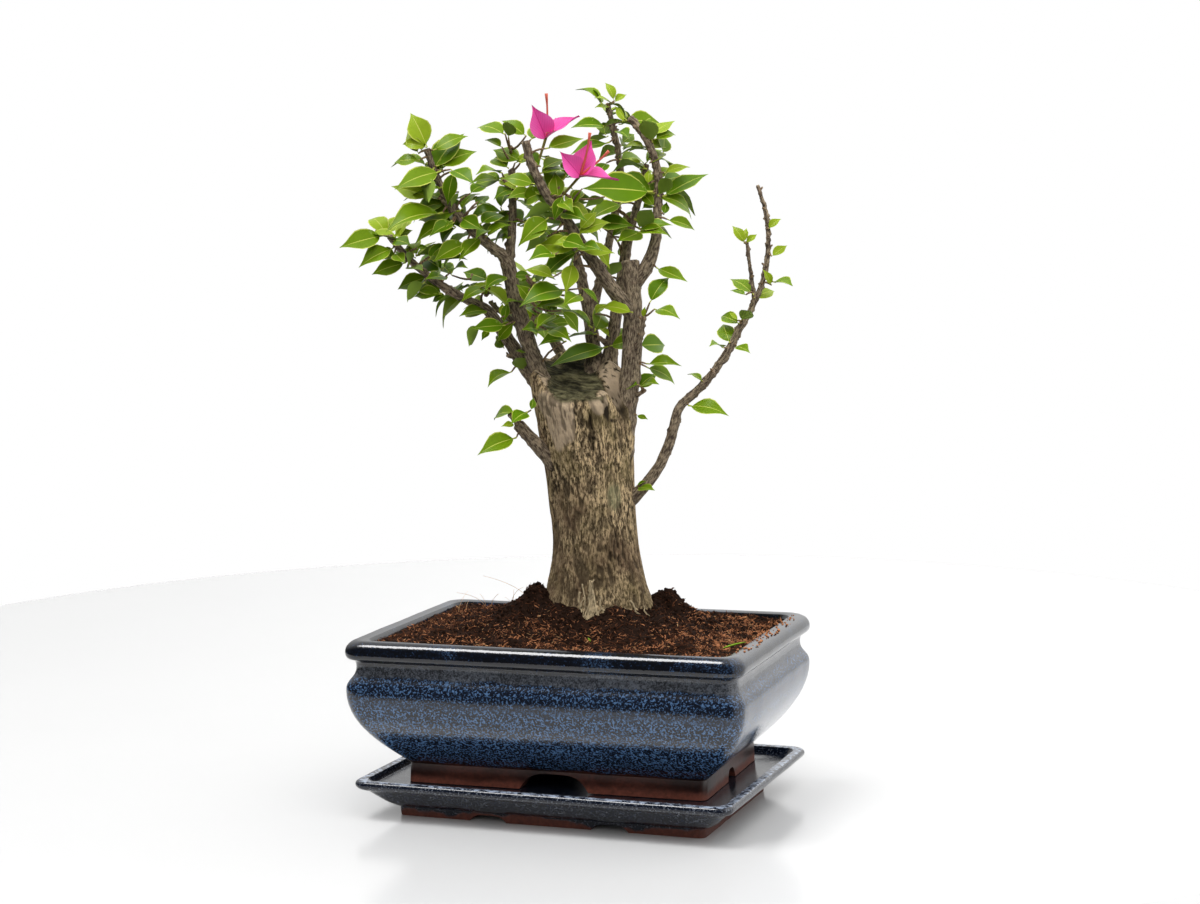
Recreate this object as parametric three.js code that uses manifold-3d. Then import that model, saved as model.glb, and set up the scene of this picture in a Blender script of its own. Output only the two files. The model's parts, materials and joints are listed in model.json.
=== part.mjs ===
// Bougainvillea bonsai in a glazed rectangular pot that stands in its own saucer.
// Millimetres, +Z up, +X along the pot's width, +Y away from the pot's front.
// The origin is on the ground under the middle of the pot.
import * as THREE from 'three';
import { mergeVertices } from 'three/addons/utils/BufferGeometryUtils.js';
import Module from 'manifold-3d';

const wasm = await Module();
wasm.setup();

// Clearance left between neighbouring pieces, and the shortest edge worth keeping.
const CLEAR = 0.3;
const FINEST = 0.03;
const WELD = 1e-4;

// Saucer: outer size, corner radius, heights and the foot ring under it.
const SAUCER_WIDTH = 240;
const SAUCER_DEPTH = 172;
const SAUCER_CORNER = 9;
const SAUCER_HEIGHT = 24.4;
const SAUCER_FLOOR = 20;
const SAUCER_RIM = 5.6;
const SAUCER_FOOT_INSET = 21.5;
const SAUCER_FOOT_HEIGHT = 5.6;
const SAUCER_FOOT_WALL = 11;
const SAUCER_FOOT_DRAFT = 0.6;
const SAUCER_UNDER_PULL = [0.7, 2];
const SAUCER_STEP = 1;
const SAUCER_LIP = [1.1, 0.4];
const SAUCER_WALL = 1.5;
const SAUCER_SMOOTH = 4;
const SAUCER_NOTCH_WIDTH = 24;
const SAUCER_NOTCH_HEIGHT = 4;
const SAUCER_NOTCH_AT = 39;
const SAUCER_TURN = THREE.MathUtils.degToRad(-1.5);

// Pot: outer size at the rim, corner radius, and how far each level is set in from the rim.
const POT_WIDTH = 251;
const POT_DEPTH = 177;
const POT_CORNER = 11;
const POT_BOTTOM = SAUCER_FLOOR + CLEAR;
const POT_TOP = 110.6;
const POT_FOOT_INSET = 30.5;
const POT_FOOT_TOP = 32;
const POT_FOOT_WALL = 13;
const POT_FOOT_RECESS = 8;
const POT_BELLY_INSET = 0.5;
const POT_BELLY_Z = 80;
const POT_NECK_INSET = 5.5;
const POT_NECK_Z = 94;
const POT_BELLY_PULL = [18, 44];
const POT_BELLY_LOW_Z = 58;
const POT_RIM_LOW_Z = 99.5;
const POT_RIM_LOW_INSET = 1.8;
const POT_RIM_ROUND = 1.5;
const POT_RIM_LIP = 6;
const POT_RIM_WALL = 13;
const POT_LINING = [[13, 107.6], [14, 80], [22, 54], [34.5, 43]];
const POT_SMOOTH = 5;
const POT_NOTCH_WIDTH = 44;
const POT_NOTCH_HEIGHT = 10;
const POT_SIDE_NOTCH_WIDTH = 16;
const POT_SIDE_NOTCH_HEIGHT = 7;
const CORNER_EASE = 0.2;
const CORNER_LEAST = 4;
const ARCH_FLAT = 0.25;
const ARCH_PULL = [0.36, 0.4];

// Soil: its level at the rim and the mound round the trunk.
const SOIL_EDGE_Z = 107;
const MOUND_Z = 125;
const MOUND_RADIUS = 34;
const MOUND_HOLLOW = 1.5;
const MOUND_LUMP = 6;
const LUMP_TURN = 2.4;
const LUMP_RUN = 9;
const MOUND_SHARES = [0, 0.16, 0.34, 0.52, 0.7, 0.86, 1];

// Trunk: a stout stump that leans to one side, waisted, flared at the soil and sawn off aslant.
const GROUND_Z = 114;
const TRUNK_TOP_Z = 282;
const TRUNK_FOOT_AT = [10.5, 3.5];
const TRUNK_LEAN = -11;
const LEAN_SPAN = 144;
const VIEW_TURN = THREE.MathUtils.degToRad(18.7);
const WAIST_WIDTH = 51;
const WAIST_Z = 176;
const FLARE_WIDTH = 33;
const FLARE_FALL = 20;
const SHOULDER_WIDTH = 59;
const SHOULDER_Z = 240;
const ROOT_RIDGES = { depth: 0.09, count: 5, start: 0.6 };
const FLUTES = [
  { depth: 0.03, count: 3, pitch: 60 },
  { depth: 0.02, count: 7, pitch: -35 },
];
const TRUNK_SIDES = 28;
const TRUNK_LEVELS = [0, 5, 11, 19, 32, 52, 76, 100, 122, 142, 158];
const SAWN_MID_Z = 266;
const SAWN_SLOPE = THREE.MathUtils.degToRad(24);

// How a limb runs: it sets out from its foot at a heading in plan and a rise above level, and over
// its length the rise changes by sweep and the heading by swing. Angles are in degrees and girth is
// the diameter at the foot and at the tip. A foot is a point, or a share of the way along a limb.
const BOUGHS = {
  bough_left: {
    foot: [-14, -5, 254], heading: 211, rise: 63, sweep: 18, swing: 17, length: 89, girth: [13.5, 10.5],
  },
  bough_left_low: {
    foot: [-18, -1, 244], heading: 178, rise: 57, sweep: 0, swing: 44, length: 74, girth: [10.5, 7],
  },
  bough_right: {
    foot: [25, 11, 221], heading: 20, rise: 83, sweep: 11, swing: -10, length: 115, girth: [14, 10.5],
  },
  bough_right_upper: {
    on: 'bough_right', at: 0.86, heading: 13, rise: 43, sweep: 51, swing: 58, length: 46, girth: [8.5, 6],
  },
  bough_cross: {
    on: 'bough_right', at: 0.71, heading: 232, rise: 47, sweep: 12, swing: -14, length: 74, girth: [9, 6.5],
  },
  bough_back_left: {
    foot: [5, 15, 268], heading: 109, rise: 67, sweep: 6, swing: 54, length: 74, girth: [8.5, 6],
  },
  bough_back_right: {
    foot: [13, 15, 262], heading: 81, rise: 76, sweep: 5, swing: -62, length: 90, girth: [8.5, 6],
  },
  bough_top: {
    on: 'bough_back_left', at: 0.42,
    heading: 85, rise: 64, sweep: 18, swing: -68, length: 95, girth: [6, 4.5],
  },
  bough_behind: {
    foot: [-3, 16, 246], heading: 123, rise: 42, sweep: 1, swing: 26, length: 64, girth: [9, 6],
  },
  bough_low: {
    foot: [26, 3, 191], heading: 0, rise: 33, sweep: 52, swing: 9, length: 68, girth: [7, 5.4],
  },
  bough_low_outer: {
    on: 'bough_low', at: 1, heading: 12, rise: 36, sweep: 31, swing: 4, length: 63, girth: [5.2, 4.4],
  },
  stub_left: {
    foot: [-14, -12, 213], heading: 226, rise: 43, sweep: 7, swing: -15, length: 32, girth: [6.5, 5.2],
  },
};

// Each mass of leaves: the run of its stem, how many nodes the stem bears, how many leaves stand at
// a node, the length of a full leaf, how far a leaf may reach from the stem, and the seed of its
// rule. A fork is a second stem that leaves the first at a share of its way.
const MASSES = {
  leaves_left_low: {
    on: 'bough_left_low', at: 1, heading: 220, rise: 15, sweep: 34, swing: -18, length: 80,
    girth: [5.6, 3.6], nodes: 10, leaves: 3, leaf: 37, reach: 52, seed: 12,
  },
  leaves_left_top: {
    on: 'bough_left', at: 1, heading: 217, rise: 30, sweep: 48, swing: -12, length: 84,
    girth: [6, 3.8], nodes: 9, leaves: 3, leaf: 34, reach: 48, seed: 23,
    forks: [
      { at: 0.36, heading: 214, rise: 38, sweep: 20, swing: 0, length: 26, girth: [3.4, 2.4], nodes: 3 },
    ],
  },
  leaves_left_mid: {
    on: 'bough_left', at: 0.96, heading: 69, rise: 74, sweep: 9, swing: 60, length: 58,
    girth: [5.6, 4], nodes: 6, leaves: 3, leaf: 32, reach: 46, seed: 37,
    forks: [
      { at: 0.68, heading: 205, rise: 60, sweep: 20, swing: 0, length: 14, girth: [3, 2], nodes: 1 },
    ],
  },
  leaves_cross: {
    on: 'bough_cross', at: 1, heading: 221, rise: 44, sweep: 37, swing: -25, length: 53,
    girth: [6, 4.4], nodes: 7, leaves: 3, leaf: 34, reach: 46, seed: 53,
  },
  leaves_right: {
    on: 'bough_right_upper', at: 1, heading: 86, rise: 71, sweep: 65, swing: -83, length: 66,
    girth: [5.4, 4], nodes: 8, leaves: 3, leaf: 33, reach: 46, seed: 97,
  },
  leaves_top: {
    on: 'bough_top', at: 1, heading: 19, rise: 94, sweep: 13, swing: 0, length: 46,
    girth: [4, 2.6], nodes: 6, leaves: 3, leaf: 28, reach: 42, seed: 83,
  },
  leaves_far_right: {
    on: 'bough_low_outer', at: 1, heading: 30, rise: 52, sweep: 61, swing: -35, length: 90,
    girth: [4, 2.2], nodes: 7, leaves: 2, leaf: 23, reach: 36, seed: 131,
    forks: [
      { at: 0.2, heading: 300, rise: 80, sweep: 15, swing: 0, length: 38, girth: [2.6, 1.8], nodes: 2 },
    ],
  },
  leaves_stub: {
    on: 'stub_left', at: 0.9, heading: 230, rise: 60, sweep: -30, swing: 0, length: 12,
    girth: [3.2, 2.2], nodes: 2, leaves: 3, leaf: 27, reach: 36, seed: 139,
  },
  leaves_right_inner: {
    on: 'bough_right', at: 0.46, heading: 318, rise: 46, sweep: 42, swing: 31, length: 32,
    girth: [3, 2], nodes: 3, leaves: 2, leaf: 32, reach: 40, seed: 101,
  },
  leaves_right_low: {
    on: 'bough_right', at: 0.26, heading: 350, rise: 20, sweep: 10, swing: 0, length: 14,
    girth: [2.6, 1.8], nodes: 2, leaves: 2, leaf: 27, reach: 36, seed: 103,
  },
  leaves_low_mid: {
    on: 'bough_low_outer', at: 0.35, heading: 340, rise: 40, sweep: 20, swing: 0, length: 12,
    girth: [2.6, 1.8], nodes: 2, leaves: 2, leaf: 27, reach: 36, seed: 127,
  },
  leaves_left_foot: {
    on: 'bough_left_low', at: 0.5, heading: 220, rise: 10, sweep: 0, swing: 0, length: 9,
    girth: [2.6, 1.8], nodes: 2, leaves: 2, leaf: 27, reach: 40, seed: 49,
  },
  leaves_trunk_top: {
    on: 'bough_back_right', at: 0.22, heading: 250, rise: 35, sweep: -10, swing: 10, length: 16,
    girth: [3, 2.2], nodes: 2, leaves: 3, leaf: 38, reach: 48, seed: 109,
  },
  leaves_left_front: {
    on: 'bough_left', at: 0.42, heading: 290, rise: 30, sweep: 20, swing: 30, length: 24,
    girth: [3.2, 2.2], nodes: 4, leaves: 3, leaf: 34, reach: 48, seed: 47,
  },
  leaves_cross_low: {
    on: 'bough_cross', at: 0.55, heading: 250, rise: 30, sweep: 20, swing: 0, length: 26,
    girth: [3.2, 2.2], nodes: 4, leaves: 3, leaf: 34, reach: 46, seed: 60,
  },
  leaves_left_inner: {
    on: 'bough_left', at: 0.5, heading: 150, rise: 20, sweep: 20, swing: 20, length: 32,
    girth: [3.4, 2.2], nodes: 4, leaves: 3, leaf: 36, reach: 50, seed: 41,
  },
  leaves_back_right: {
    on: 'bough_back_right', at: 1, heading: 19, rise: 72, sweep: 6, swing: 0, length: 46,
    girth: [5, 3.4], nodes: 6, leaves: 3, leaf: 33, reach: 46, seed: 71,
  },
  leaves_back_left: {
    on: 'bough_back_left', at: 1, heading: 147, rise: 66, sweep: 10, swing: 18, length: 50,
    girth: [5, 3.4], nodes: 7, leaves: 3, leaf: 36, reach: 50, seed: 61,
  },
  leaves_behind: {
    on: 'bough_behind', at: 1, heading: 140, rise: 40, sweep: 25, swing: 20, length: 36,
    girth: [5, 3.2], nodes: 7, leaves: 3, leaf: 36, reach: 50, seed: 113,
  },
};

// Blooms: three papery bracts round slim flower tubes, on a stalk from a leafy stem.
const BLOOMS = {
  bloom_upper: { on: 'leaves_cross', at: 0.62, heading: 19, rise: 80, stalk: 19, bract: 26 },
  bloom_lower: { on: 'leaves_cross', at: 0.2, heading: 340, rise: 58, stalk: 23, bract: 27 },
};

const BOUGH_STEPS = 6;
const BOUGH_SIDES = 7;
const STEM_STEPS = 6;
const STEM_SIDES = 5;
const TWIG_SIDES = 3;
const GOLDEN_ANGLE = 137.5;
const SPUR_LENGTHS = [4.9, 9.8];
const SPUR_GIRTH = [2.04, 1.7];
const SPUR_LEAN = 0.45;
const SPUR_LIFT = 0.25;
const FIRST_NODE = 0.1;
const NODE_OFFSET = 0.65;
const TURN_SCATTER = 50;
const LEAF_FAN = 85;
const FAN_SCATTER = 45;
const LEAF_OUTWARD = 0.6;
const LEAF_PITCH = [-42, 18];
const TIP_LIFT = 45;
const LEAF_SIZES = [0.62, 1.08];
const TIP_SHRINK = 0.25;
const LEAF_ROLL = 100;
const FIRST_LEAF = 0.95;
const LEAF_STEP = 0.25;
const LEAF_OUTLINE = [[0.36, 0.5], [0.68, 0.37]];
const LEAF_FOLD = 0.09;
const LEAF_HUMP = 1.6;
const LEAF_WIDTH = 0.54;
const LEAF_ARCH = 0.16;
const LEAF_BARE = 0.2;
const LEAF_THICKNESS = 0.03;
const BRACTS = 3;
const BRACT_WIDTH = 0.7;
const BRACT_ARCH = 0.06;
const BRACT_LEAN = 0.85;
const TUBE_LENGTH = 19;
const TUBE_GIRTH = [1.76, 2.2];
const TUBE_SPLAY = 0.3;
const STALK_GIRTH = [1.5, 1.95];
const STALK_STEPS = 2;

const STEEP = 0.95;
const UP = new THREE.Vector3(0, 0, 1);
const degrees = THREE.MathUtils.degToRad;

function finish(colour, roughness) {
  return new THREE.MeshStandardMaterial({ color: colour, roughness, metalness: 0 });
}

const FINISH = {
  saucer: finish(0x14161d, 0.25),
  pot: finish(0x24364f, 0.2),
  soil: finish(0x4f2c18, 0.95),
  trunk: finish(0x8a7c5c, 0.9),
  bough: finish(0x5f5046, 0.85),
  leaves: finish(0x3f7a20, 0.5),
  bloom: finish(0xd8308f, 0.6),
};

// Repeatable random numbers from 0 to 1.
function seeded(seed) {
  let state = seed * 7919;
  return () => {
    state = (state + 0x6d2b79f5) >>> 0;
    let mixed = Math.imul(state ^ (state >>> 15), state | 1);
    mixed ^= mixed + Math.imul(mixed ^ (mixed >>> 7), mixed | 61);
    return ((mixed ^ (mixed >>> 14)) >>> 0) / 4294967296;
  };
}

function toSolid(geometry) {
  const bare = geometry.index ? geometry.toNonIndexed() : geometry.clone();
  bare.deleteAttribute('normal');
  bare.deleteAttribute('uv');
  const merged = mergeVertices(bare, WELD);
  return new wasm.Manifold(new wasm.Mesh({
    numProp: 3,
    vertProperties: new Float32Array(merged.attributes.position.array),
    triVerts: new Uint32Array(merged.index.array),
  }));
}

function toMesh(name, solid, material) {
  const data = solid.simplify(FINEST).getMesh();
  const geometry = new THREE.BufferGeometry();
  geometry.setAttribute('position', new THREE.Float32BufferAttribute(data.vertProperties, 3));
  geometry.setIndex(Array.from(data.triVerts));
  geometry.computeVertexNormals();
  const mesh = new THREE.Mesh(geometry, material);
  mesh.name = name;
  return mesh;
}

function largestBody(solid) {
  return solid.decompose().reduce((best, body) => (body.volume() > best.volume() ? body : best));
}

// A closed skin through rings of equal point count, with a flat fan across each end.
function loft(rings) {
  const count = rings[0].length;
  const points = rings.flat();
  const index = [];
  for (let level = 0; level < rings.length - 1; level += 1) {
    for (let i = 0; i < count; i += 1) {
      const a = level * count + i;
      const b = level * count + (i + 1) % count;
      index.push(a, b, b + count, a, b + count, a + count);
    }
  }
  const top = (rings.length - 1) * count;
  for (let i = 1; i < count - 1; i += 1) {
    index.push(0, i + 1, i);
    index.push(top, top + i, top + i + 1);
  }
  const geometry = new THREE.BufferGeometry().setFromPoints(points);
  geometry.setIndex(index);
  return geometry;
}

// Outline of a rectangle with round corners, at one level.
function roundedRing(width, depth, radius, z, steps = 3) {
  const ring = [];
  [[1, 1], [-1, 1], [-1, -1], [1, -1]].forEach(([sx, sy], corner) => {
    for (let i = 0; i <= steps; i += 1) {
      const turn = (corner + i / steps) * Math.PI / 2;
      ring.push(new THREE.Vector3(
        sx * (width / 2 - radius) + radius * Math.cos(turn),
        sy * (depth / 2 - radius) + radius * Math.sin(turn),
        z,
      ));
    }
  });
  return ring;
}

// Rings that follow a profile of inset and height, set in from a rounded rectangle.
function profileRings(profile, width, depth, corner) {
  return profile.map(({ x: inset, y: z }) => roundedRing(
    width - 2 * inset,
    depth - 2 * inset,
    Math.max(corner - inset * CORNER_EASE, CORNER_LEAST),
    z,
  ));
}

// An arched opening across a foot ring, run through the whole ring along Y.
function archedSlot(width, height, through, z) {
  const arch = new THREE.Shape();
  arch.moveTo(-width / 2, -height);
  arch.lineTo(width / 2, -height);
  arch.lineTo(width / 2, 0);
  const [near, far] = ARCH_PULL.map((share) => width * share);
  arch.bezierCurveTo(far, height, near, height, width * ARCH_FLAT, height);
  arch.lineTo(-width * ARCH_FLAT, height);
  arch.bezierCurveTo(-near, height, -far, height, -width / 2, 0);
  const slot = new THREE.ExtrudeGeometry(arch, { depth: through, bevelEnabled: false, curveSegments: 5 });
  return slot.translate(0, 0, -through / 2).rotateX(Math.PI / 2).translate(0, 0, z);
}

function recess(width, depth, height, z) {
  return toSolid(new THREE.BoxGeometry(width, depth, 2 * height).translate(0, 0, z));
}

function saucer() {
  const profile = new THREE.Path();
  profile.moveTo(SAUCER_FOOT_INSET + SAUCER_FOOT_DRAFT, 0);
  profile.lineTo(SAUCER_FOOT_INSET, SAUCER_FOOT_HEIGHT);
  const rimLow = SAUCER_HEIGHT - SAUCER_RIM;
  profile.quadraticCurveTo(
    SAUCER_FOOT_INSET * SAUCER_UNDER_PULL[0],
    SAUCER_FOOT_HEIGHT + SAUCER_UNDER_PULL[1],
    SAUCER_RIM,
    rimLow - SAUCER_STEP,
  );
  profile.lineTo(SAUCER_RIM - 3 * SAUCER_STEP, rimLow);
  profile.quadraticCurveTo(0, rimLow, 0, rimLow + SAUCER_RIM / 2);
  profile.quadraticCurveTo(0, SAUCER_HEIGHT, SAUCER_RIM / 2, SAUCER_HEIGHT);
  profile.lineTo(SAUCER_RIM * SAUCER_LIP[0], SAUCER_HEIGHT - SAUCER_LIP[1]);
  profile.lineTo(SAUCER_RIM * SAUCER_WALL, SAUCER_FLOOR);
  const rings = profileRings(profile.getPoints(SAUCER_SMOOTH), SAUCER_WIDTH, SAUCER_DEPTH, SAUCER_CORNER);
  const body = toSolid(loft(rings));
  const inner = 2 * (SAUCER_FOOT_INSET + SAUCER_FOOT_WALL);
  const under = recess(SAUCER_WIDTH - inner, SAUCER_DEPTH - inner, SAUCER_FOOT_HEIGHT, 0);
  const notches = [-SAUCER_NOTCH_AT, SAUCER_NOTCH_AT].map((x) => toSolid(
    archedSlot(SAUCER_NOTCH_WIDTH, SAUCER_NOTCH_HEIGHT, SAUCER_DEPTH, 0).translate(x, 0, 0),
  ));
  const whole = notches.reduce((rest, notch) => rest.subtract(notch), body.subtract(under));
  const mesh = toMesh('saucer', whole, FINISH.saucer);
  mesh.rotation.z = SAUCER_TURN;
  return mesh;
}

// The inside of the pot from the rim's inner lip down to the floor, drawn in by some extra.
function potLining(extra) {
  return POT_LINING.map(([inset, z], i) => {
    const lift = i === POT_LINING.length - 1 ? extra : 0;
    return new THREE.Vector2(inset + extra, z + lift);
  });
}

function pot() {
  const profile = new THREE.Path();
  profile.moveTo(POT_FOOT_INSET, POT_BOTTOM);
  profile.lineTo(POT_FOOT_INSET + 0.5, POT_FOOT_TOP);
  profile.bezierCurveTo(...POT_BELLY_PULL, POT_BELLY_INSET, POT_BELLY_LOW_Z, POT_BELLY_INSET, POT_BELLY_Z);
  const shoulder = (POT_BELLY_Z + POT_NECK_Z) / 2;
  profile.bezierCurveTo(POT_BELLY_INSET, shoulder, POT_NECK_INSET, shoulder, POT_NECK_INSET, POT_NECK_Z);
  profile.quadraticCurveTo(POT_NECK_INSET, POT_RIM_LOW_Z - 1, POT_RIM_LOW_INSET, POT_RIM_LOW_Z);
  profile.bezierCurveTo(
    -POT_RIM_ROUND / 2,
    POT_RIM_LOW_Z + POT_RIM_ROUND,
    -POT_RIM_ROUND / 2,
    POT_TOP - POT_RIM_ROUND,
    POT_RIM_LIP,
    POT_TOP,
  );
  profile.lineTo(POT_RIM_WALL - POT_RIM_ROUND, POT_TOP - POT_RIM_ROUND / 2);
  const outside = profileRings(profile.getPoints(POT_SMOOTH), POT_WIDTH, POT_DEPTH, POT_CORNER);
  const inside = profileRings(potLining(0), POT_WIDTH, POT_DEPTH, POT_CORNER);
  const body = toSolid(loft([...outside, ...inside]));
  const inner = 2 * (POT_FOOT_INSET + POT_FOOT_WALL);
  const cuts = [
    recess(POT_WIDTH - inner, POT_DEPTH - inner, POT_FOOT_RECESS, POT_BOTTOM),
    toSolid(archedSlot(POT_NOTCH_WIDTH, POT_NOTCH_HEIGHT, POT_DEPTH, POT_BOTTOM)),
    toSolid(archedSlot(POT_SIDE_NOTCH_WIDTH, POT_SIDE_NOTCH_HEIGHT, POT_WIDTH, 0)
      .rotateZ(Math.PI / 2).translate(0, 0, POT_BOTTOM)),
  ];
  return toMesh('pot', cuts.reduce((rest, cut) => rest.subtract(cut), body), FINISH.pot);
}

// Middle of the trunk at a height: it leans more the higher it goes, across the view of its front.
function trunkAxis(z) {
  const lean = TRUNK_LEAN * ((z - GROUND_Z) / LEAN_SPAN) ** 2;
  return new THREE.Vector3(
    TRUNK_FOOT_AT[0] + lean * Math.cos(VIEW_TURN),
    TRUNK_FOOT_AT[1] + lean * Math.sin(VIEW_TURN),
    z,
  );
}

function trunkWidth(z) {
  const flare = FLARE_WIDTH * Math.exp((GROUND_Z - z) / FLARE_FALL);
  const swell = THREE.MathUtils.smoothstep(z, WAIST_Z, SHOULDER_Z);
  return WAIST_WIDTH + flare + (SHOULDER_WIDTH - WAIST_WIDTH) * swell;
}

// Root ridges near the soil and shallow flutes that wind further up.
function trunkRadius(turn, z) {
  const low = Math.exp((GROUND_Z - z) / FLARE_FALL);
  const ridges = ROOT_RIDGES.depth * low * Math.cos(ROOT_RIDGES.count * turn + ROOT_RIDGES.start);
  const waves = FLUTES.map(({ depth, count, pitch }) => depth * Math.cos(count * turn + z / pitch));
  const flutes = waves.reduce((sum, wave) => sum + wave, 0);
  return (trunkWidth(z) / 2) * (1 + ridges + flutes);
}

function trunkSolid(extra) {
  const heights = [...TRUNK_LEVELS.map((rise) => GROUND_Z + rise), TRUNK_TOP_Z];
  const rings = heights.map((z, level) => {
    const ring = [];
    for (let i = 0; i < TRUNK_SIDES; i += 1) {
      const turn = 2 * Math.PI * i / TRUNK_SIDES;
      const reach = trunkRadius(turn, z) + extra;
      const drop = level === 0 ? extra : 0;
      ring.push(trunkAxis(z).add(new THREE.Vector3(reach * Math.cos(turn), reach * Math.sin(turn), -drop)));
    }
    return ring;
  });
  const above = new THREE.BoxGeometry(POT_DEPTH, POT_DEPTH, TRUNK_TOP_Z);
  above.translate(0, 0, TRUNK_TOP_Z / 2 + extra);
  above.rotateX(SAWN_SLOPE);
  above.rotateZ(VIEW_TURN);
  const middle = trunkAxis(SAWN_MID_Z);
  above.translate(middle.x, middle.y, middle.z);
  return toSolid(loft(rings)).subtract(toSolid(above));
}

// The soil fills the pot to just under the rim and climbs in lumps to the foot of the trunk.
function soil() {
  const rings = profileRings(potLining(CLEAR).reverse(), POT_WIDTH, POT_DEPTH, POT_CORNER);
  const edge = rings.pop();
  const middle = trunkAxis(MOUND_Z);
  MOUND_SHARES.forEach((share) => {
    const rise = share ** MOUND_HOLLOW * (MOUND_Z - SOIL_EDGE_Z);
    rings.push(edge.map((point, i) => {
      const turn = Math.atan2(point.y - middle.y, point.x - middle.x);
      const reach = new THREE.Vector3(Math.cos(turn), Math.sin(turn), 0).multiplyScalar(MOUND_RADIUS);
      const place = point.clone().lerp(middle.clone().add(reach), share);
      const lump = MOUND_LUMP * share * (1 - share) * Math.sin(i * LUMP_TURN + share * LUMP_RUN);
      return place.setZ(SOIL_EDGE_Z + rise + lump);
    }));
  });
  return largestBody(toSolid(loft(rings)).subtract(trunkSolid(CLEAR)));
}

// Points and directions along a limb, worked out step by step from its angles.
function limbPath(run, foot, steps) {
  const points = [foot.clone()];
  const ways = [];
  for (let i = 0; i < steps; i += 1) {
    const share = (i + 0.5) / steps;
    const heading = degrees(run.heading + run.swing * share);
    const rise = degrees(run.rise + run.sweep * share);
    const way = new THREE.Vector3(
      Math.cos(rise) * Math.cos(heading),
      Math.cos(rise) * Math.sin(heading),
      Math.sin(rise),
    );
    ways.push(way);
    points.push(points[i].clone().addScaledVector(way, run.length / steps));
  }
  ways.push(ways[steps - 1].clone());
  return { points, ways };
}

function pointAlong(path, share) {
  const place = share * (path.points.length - 1);
  const i = Math.min(Math.floor(place), path.points.length - 2);
  return path.points[i].clone().lerp(path.points[i + 1], place - i);
}

function wayAlong(path, share) {
  return path.ways[Math.min(Math.floor(share * (path.ways.length - 1)), path.ways.length - 1)];
}

// Two directions square to a way, the first as near level as it can be.
function acrossWay(way) {
  const guide = Math.abs(way.z) > STEEP ? new THREE.Vector3(1, 0, 0) : UP;
  const side = new THREE.Vector3().crossVectors(guide, way).normalize();
  return [side, new THREE.Vector3().crossVectors(way, side)];
}

// A tapering round limb along a path, with its side carried on from step to step.
function limbSolid(path, girth, sides, extra = 0) {
  const last = path.points.length - 1;
  let [side] = acrossWay(path.ways[0]);
  const rings = path.points.map((point, i) => {
    const before = path.ways[Math.max(i - 1, 0)];
    const way = before.clone().add(path.ways[i]).normalize();
    side = side.clone().addScaledVector(way, -side.dot(way)).normalize();
    const other = new THREE.Vector3().crossVectors(way, side);
    const reach = THREE.MathUtils.lerp(girth[0], girth[1], i / last) / 2 + extra;
    const shift = (i === last ? extra : 0) - (i === 0 ? extra : 0);
    return Array.from({ length: sides }, (_, k) => {
      const turn = 2 * Math.PI * k / sides;
      return point.clone()
        .addScaledVector(way, shift)
        .addScaledVector(side, reach * Math.cos(turn))
        .addScaledVector(other, reach * Math.sin(turn));
    });
  });
  return toSolid(loft(rings));
}

function straightTwig(from, to, girth) {
  const way = to.clone().sub(from).normalize();
  return limbSolid({ points: [from, to], ways: [way, way] }, girth, TWIG_SIDES);
}

// A thin pointed blade, folded up along its rib and arched down to the tip.
function bladeSolid(root, way, face, length, width, arch) {
  const across = new THREE.Vector3().crossVectors(face, way).normalize();
  const lift = new THREE.Vector3().crossVectors(way, across);
  const thick = length * LEAF_THICKNESS;
  const place = (along, out, high) => root.clone()
    .addScaledVector(way, along * length)
    .addScaledVector(across, out * width * length)
    .addScaledVector(lift, high * length);
  const points = [place(0, 0, 0), place(1, 0, -arch)];
  LEAF_OUTLINE.forEach(([along, out]) => {
    const high = arch * along * (1 - along) * LEAF_HUMP;
    const rib = high - LEAF_FOLD;
    points.push(place(along, out, high), place(along, -out, high));
    points.push(place(along, 0, rib).addScaledVector(lift, thick / 2));
    points.push(place(along, 0, rib).addScaledVector(lift, -thick / 2));
  });
  const index = [
    0, 4, 2, 0, 3, 4, 0, 2, 5, 0, 5, 3,
    2, 4, 8, 2, 8, 6, 4, 3, 7, 4, 7, 8,
    2, 6, 9, 2, 9, 5, 3, 5, 9, 3, 9, 7,
    1, 6, 8, 1, 8, 7, 1, 9, 6, 1, 7, 9,
  ];
  const geometry = new THREE.BufferGeometry().setFromPoints(points);
  geometry.setIndex(index);
  return toSolid(geometry);
}

// Leaves turn their upper face to the light, each with a roll of its own.
function leafFace(way, roll) {
  const face = UP.clone().addScaledVector(way, -way.z).normalize();
  return face.applyAxisAngle(way, roll);
}

// Solids already in place, which later ones have to stay clear of.
const taken = [];

function keepClearOf(solid) {
  taken.push({ solid, box: solid.boundingBox() });
}

function boxesMeet(a, b) {
  return [0, 1, 2].every((i) => a.min[i] < b.max[i] && b.min[i] < a.max[i]);
}

function touchesTaken(solid) {
  const box = solid.boundingBox();
  return taken.some((other) => boxesMeet(box, other.box) && !solid.intersect(other.solid).isEmpty());
}

function cutClear(solid) {
  const box = solid.boundingBox();
  const near = taken.filter((other) => boxesMeet(box, other.box));
  return largestBody(near.reduce((rest, other) => rest.subtract(other.solid), solid));
}

const paths = {};

function placePath(name, run, steps) {
  const foot = run.on ? pointAlong(paths[run.on], run.at) : new THREE.Vector3(...run.foot);
  paths[name] = limbPath(run, foot, steps);
  return paths[name];
}

function bough(name, run) {
  const path = placePath(name, run, BOUGH_STEPS);
  const mesh = toMesh(name, cutClear(limbSolid(path, run.girth, BOUGH_SIDES)), FINISH.bough);
  keepClearOf(limbSolid(path, run.girth, BOUGH_SIDES, CLEAR));
  return mesh;
}

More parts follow.
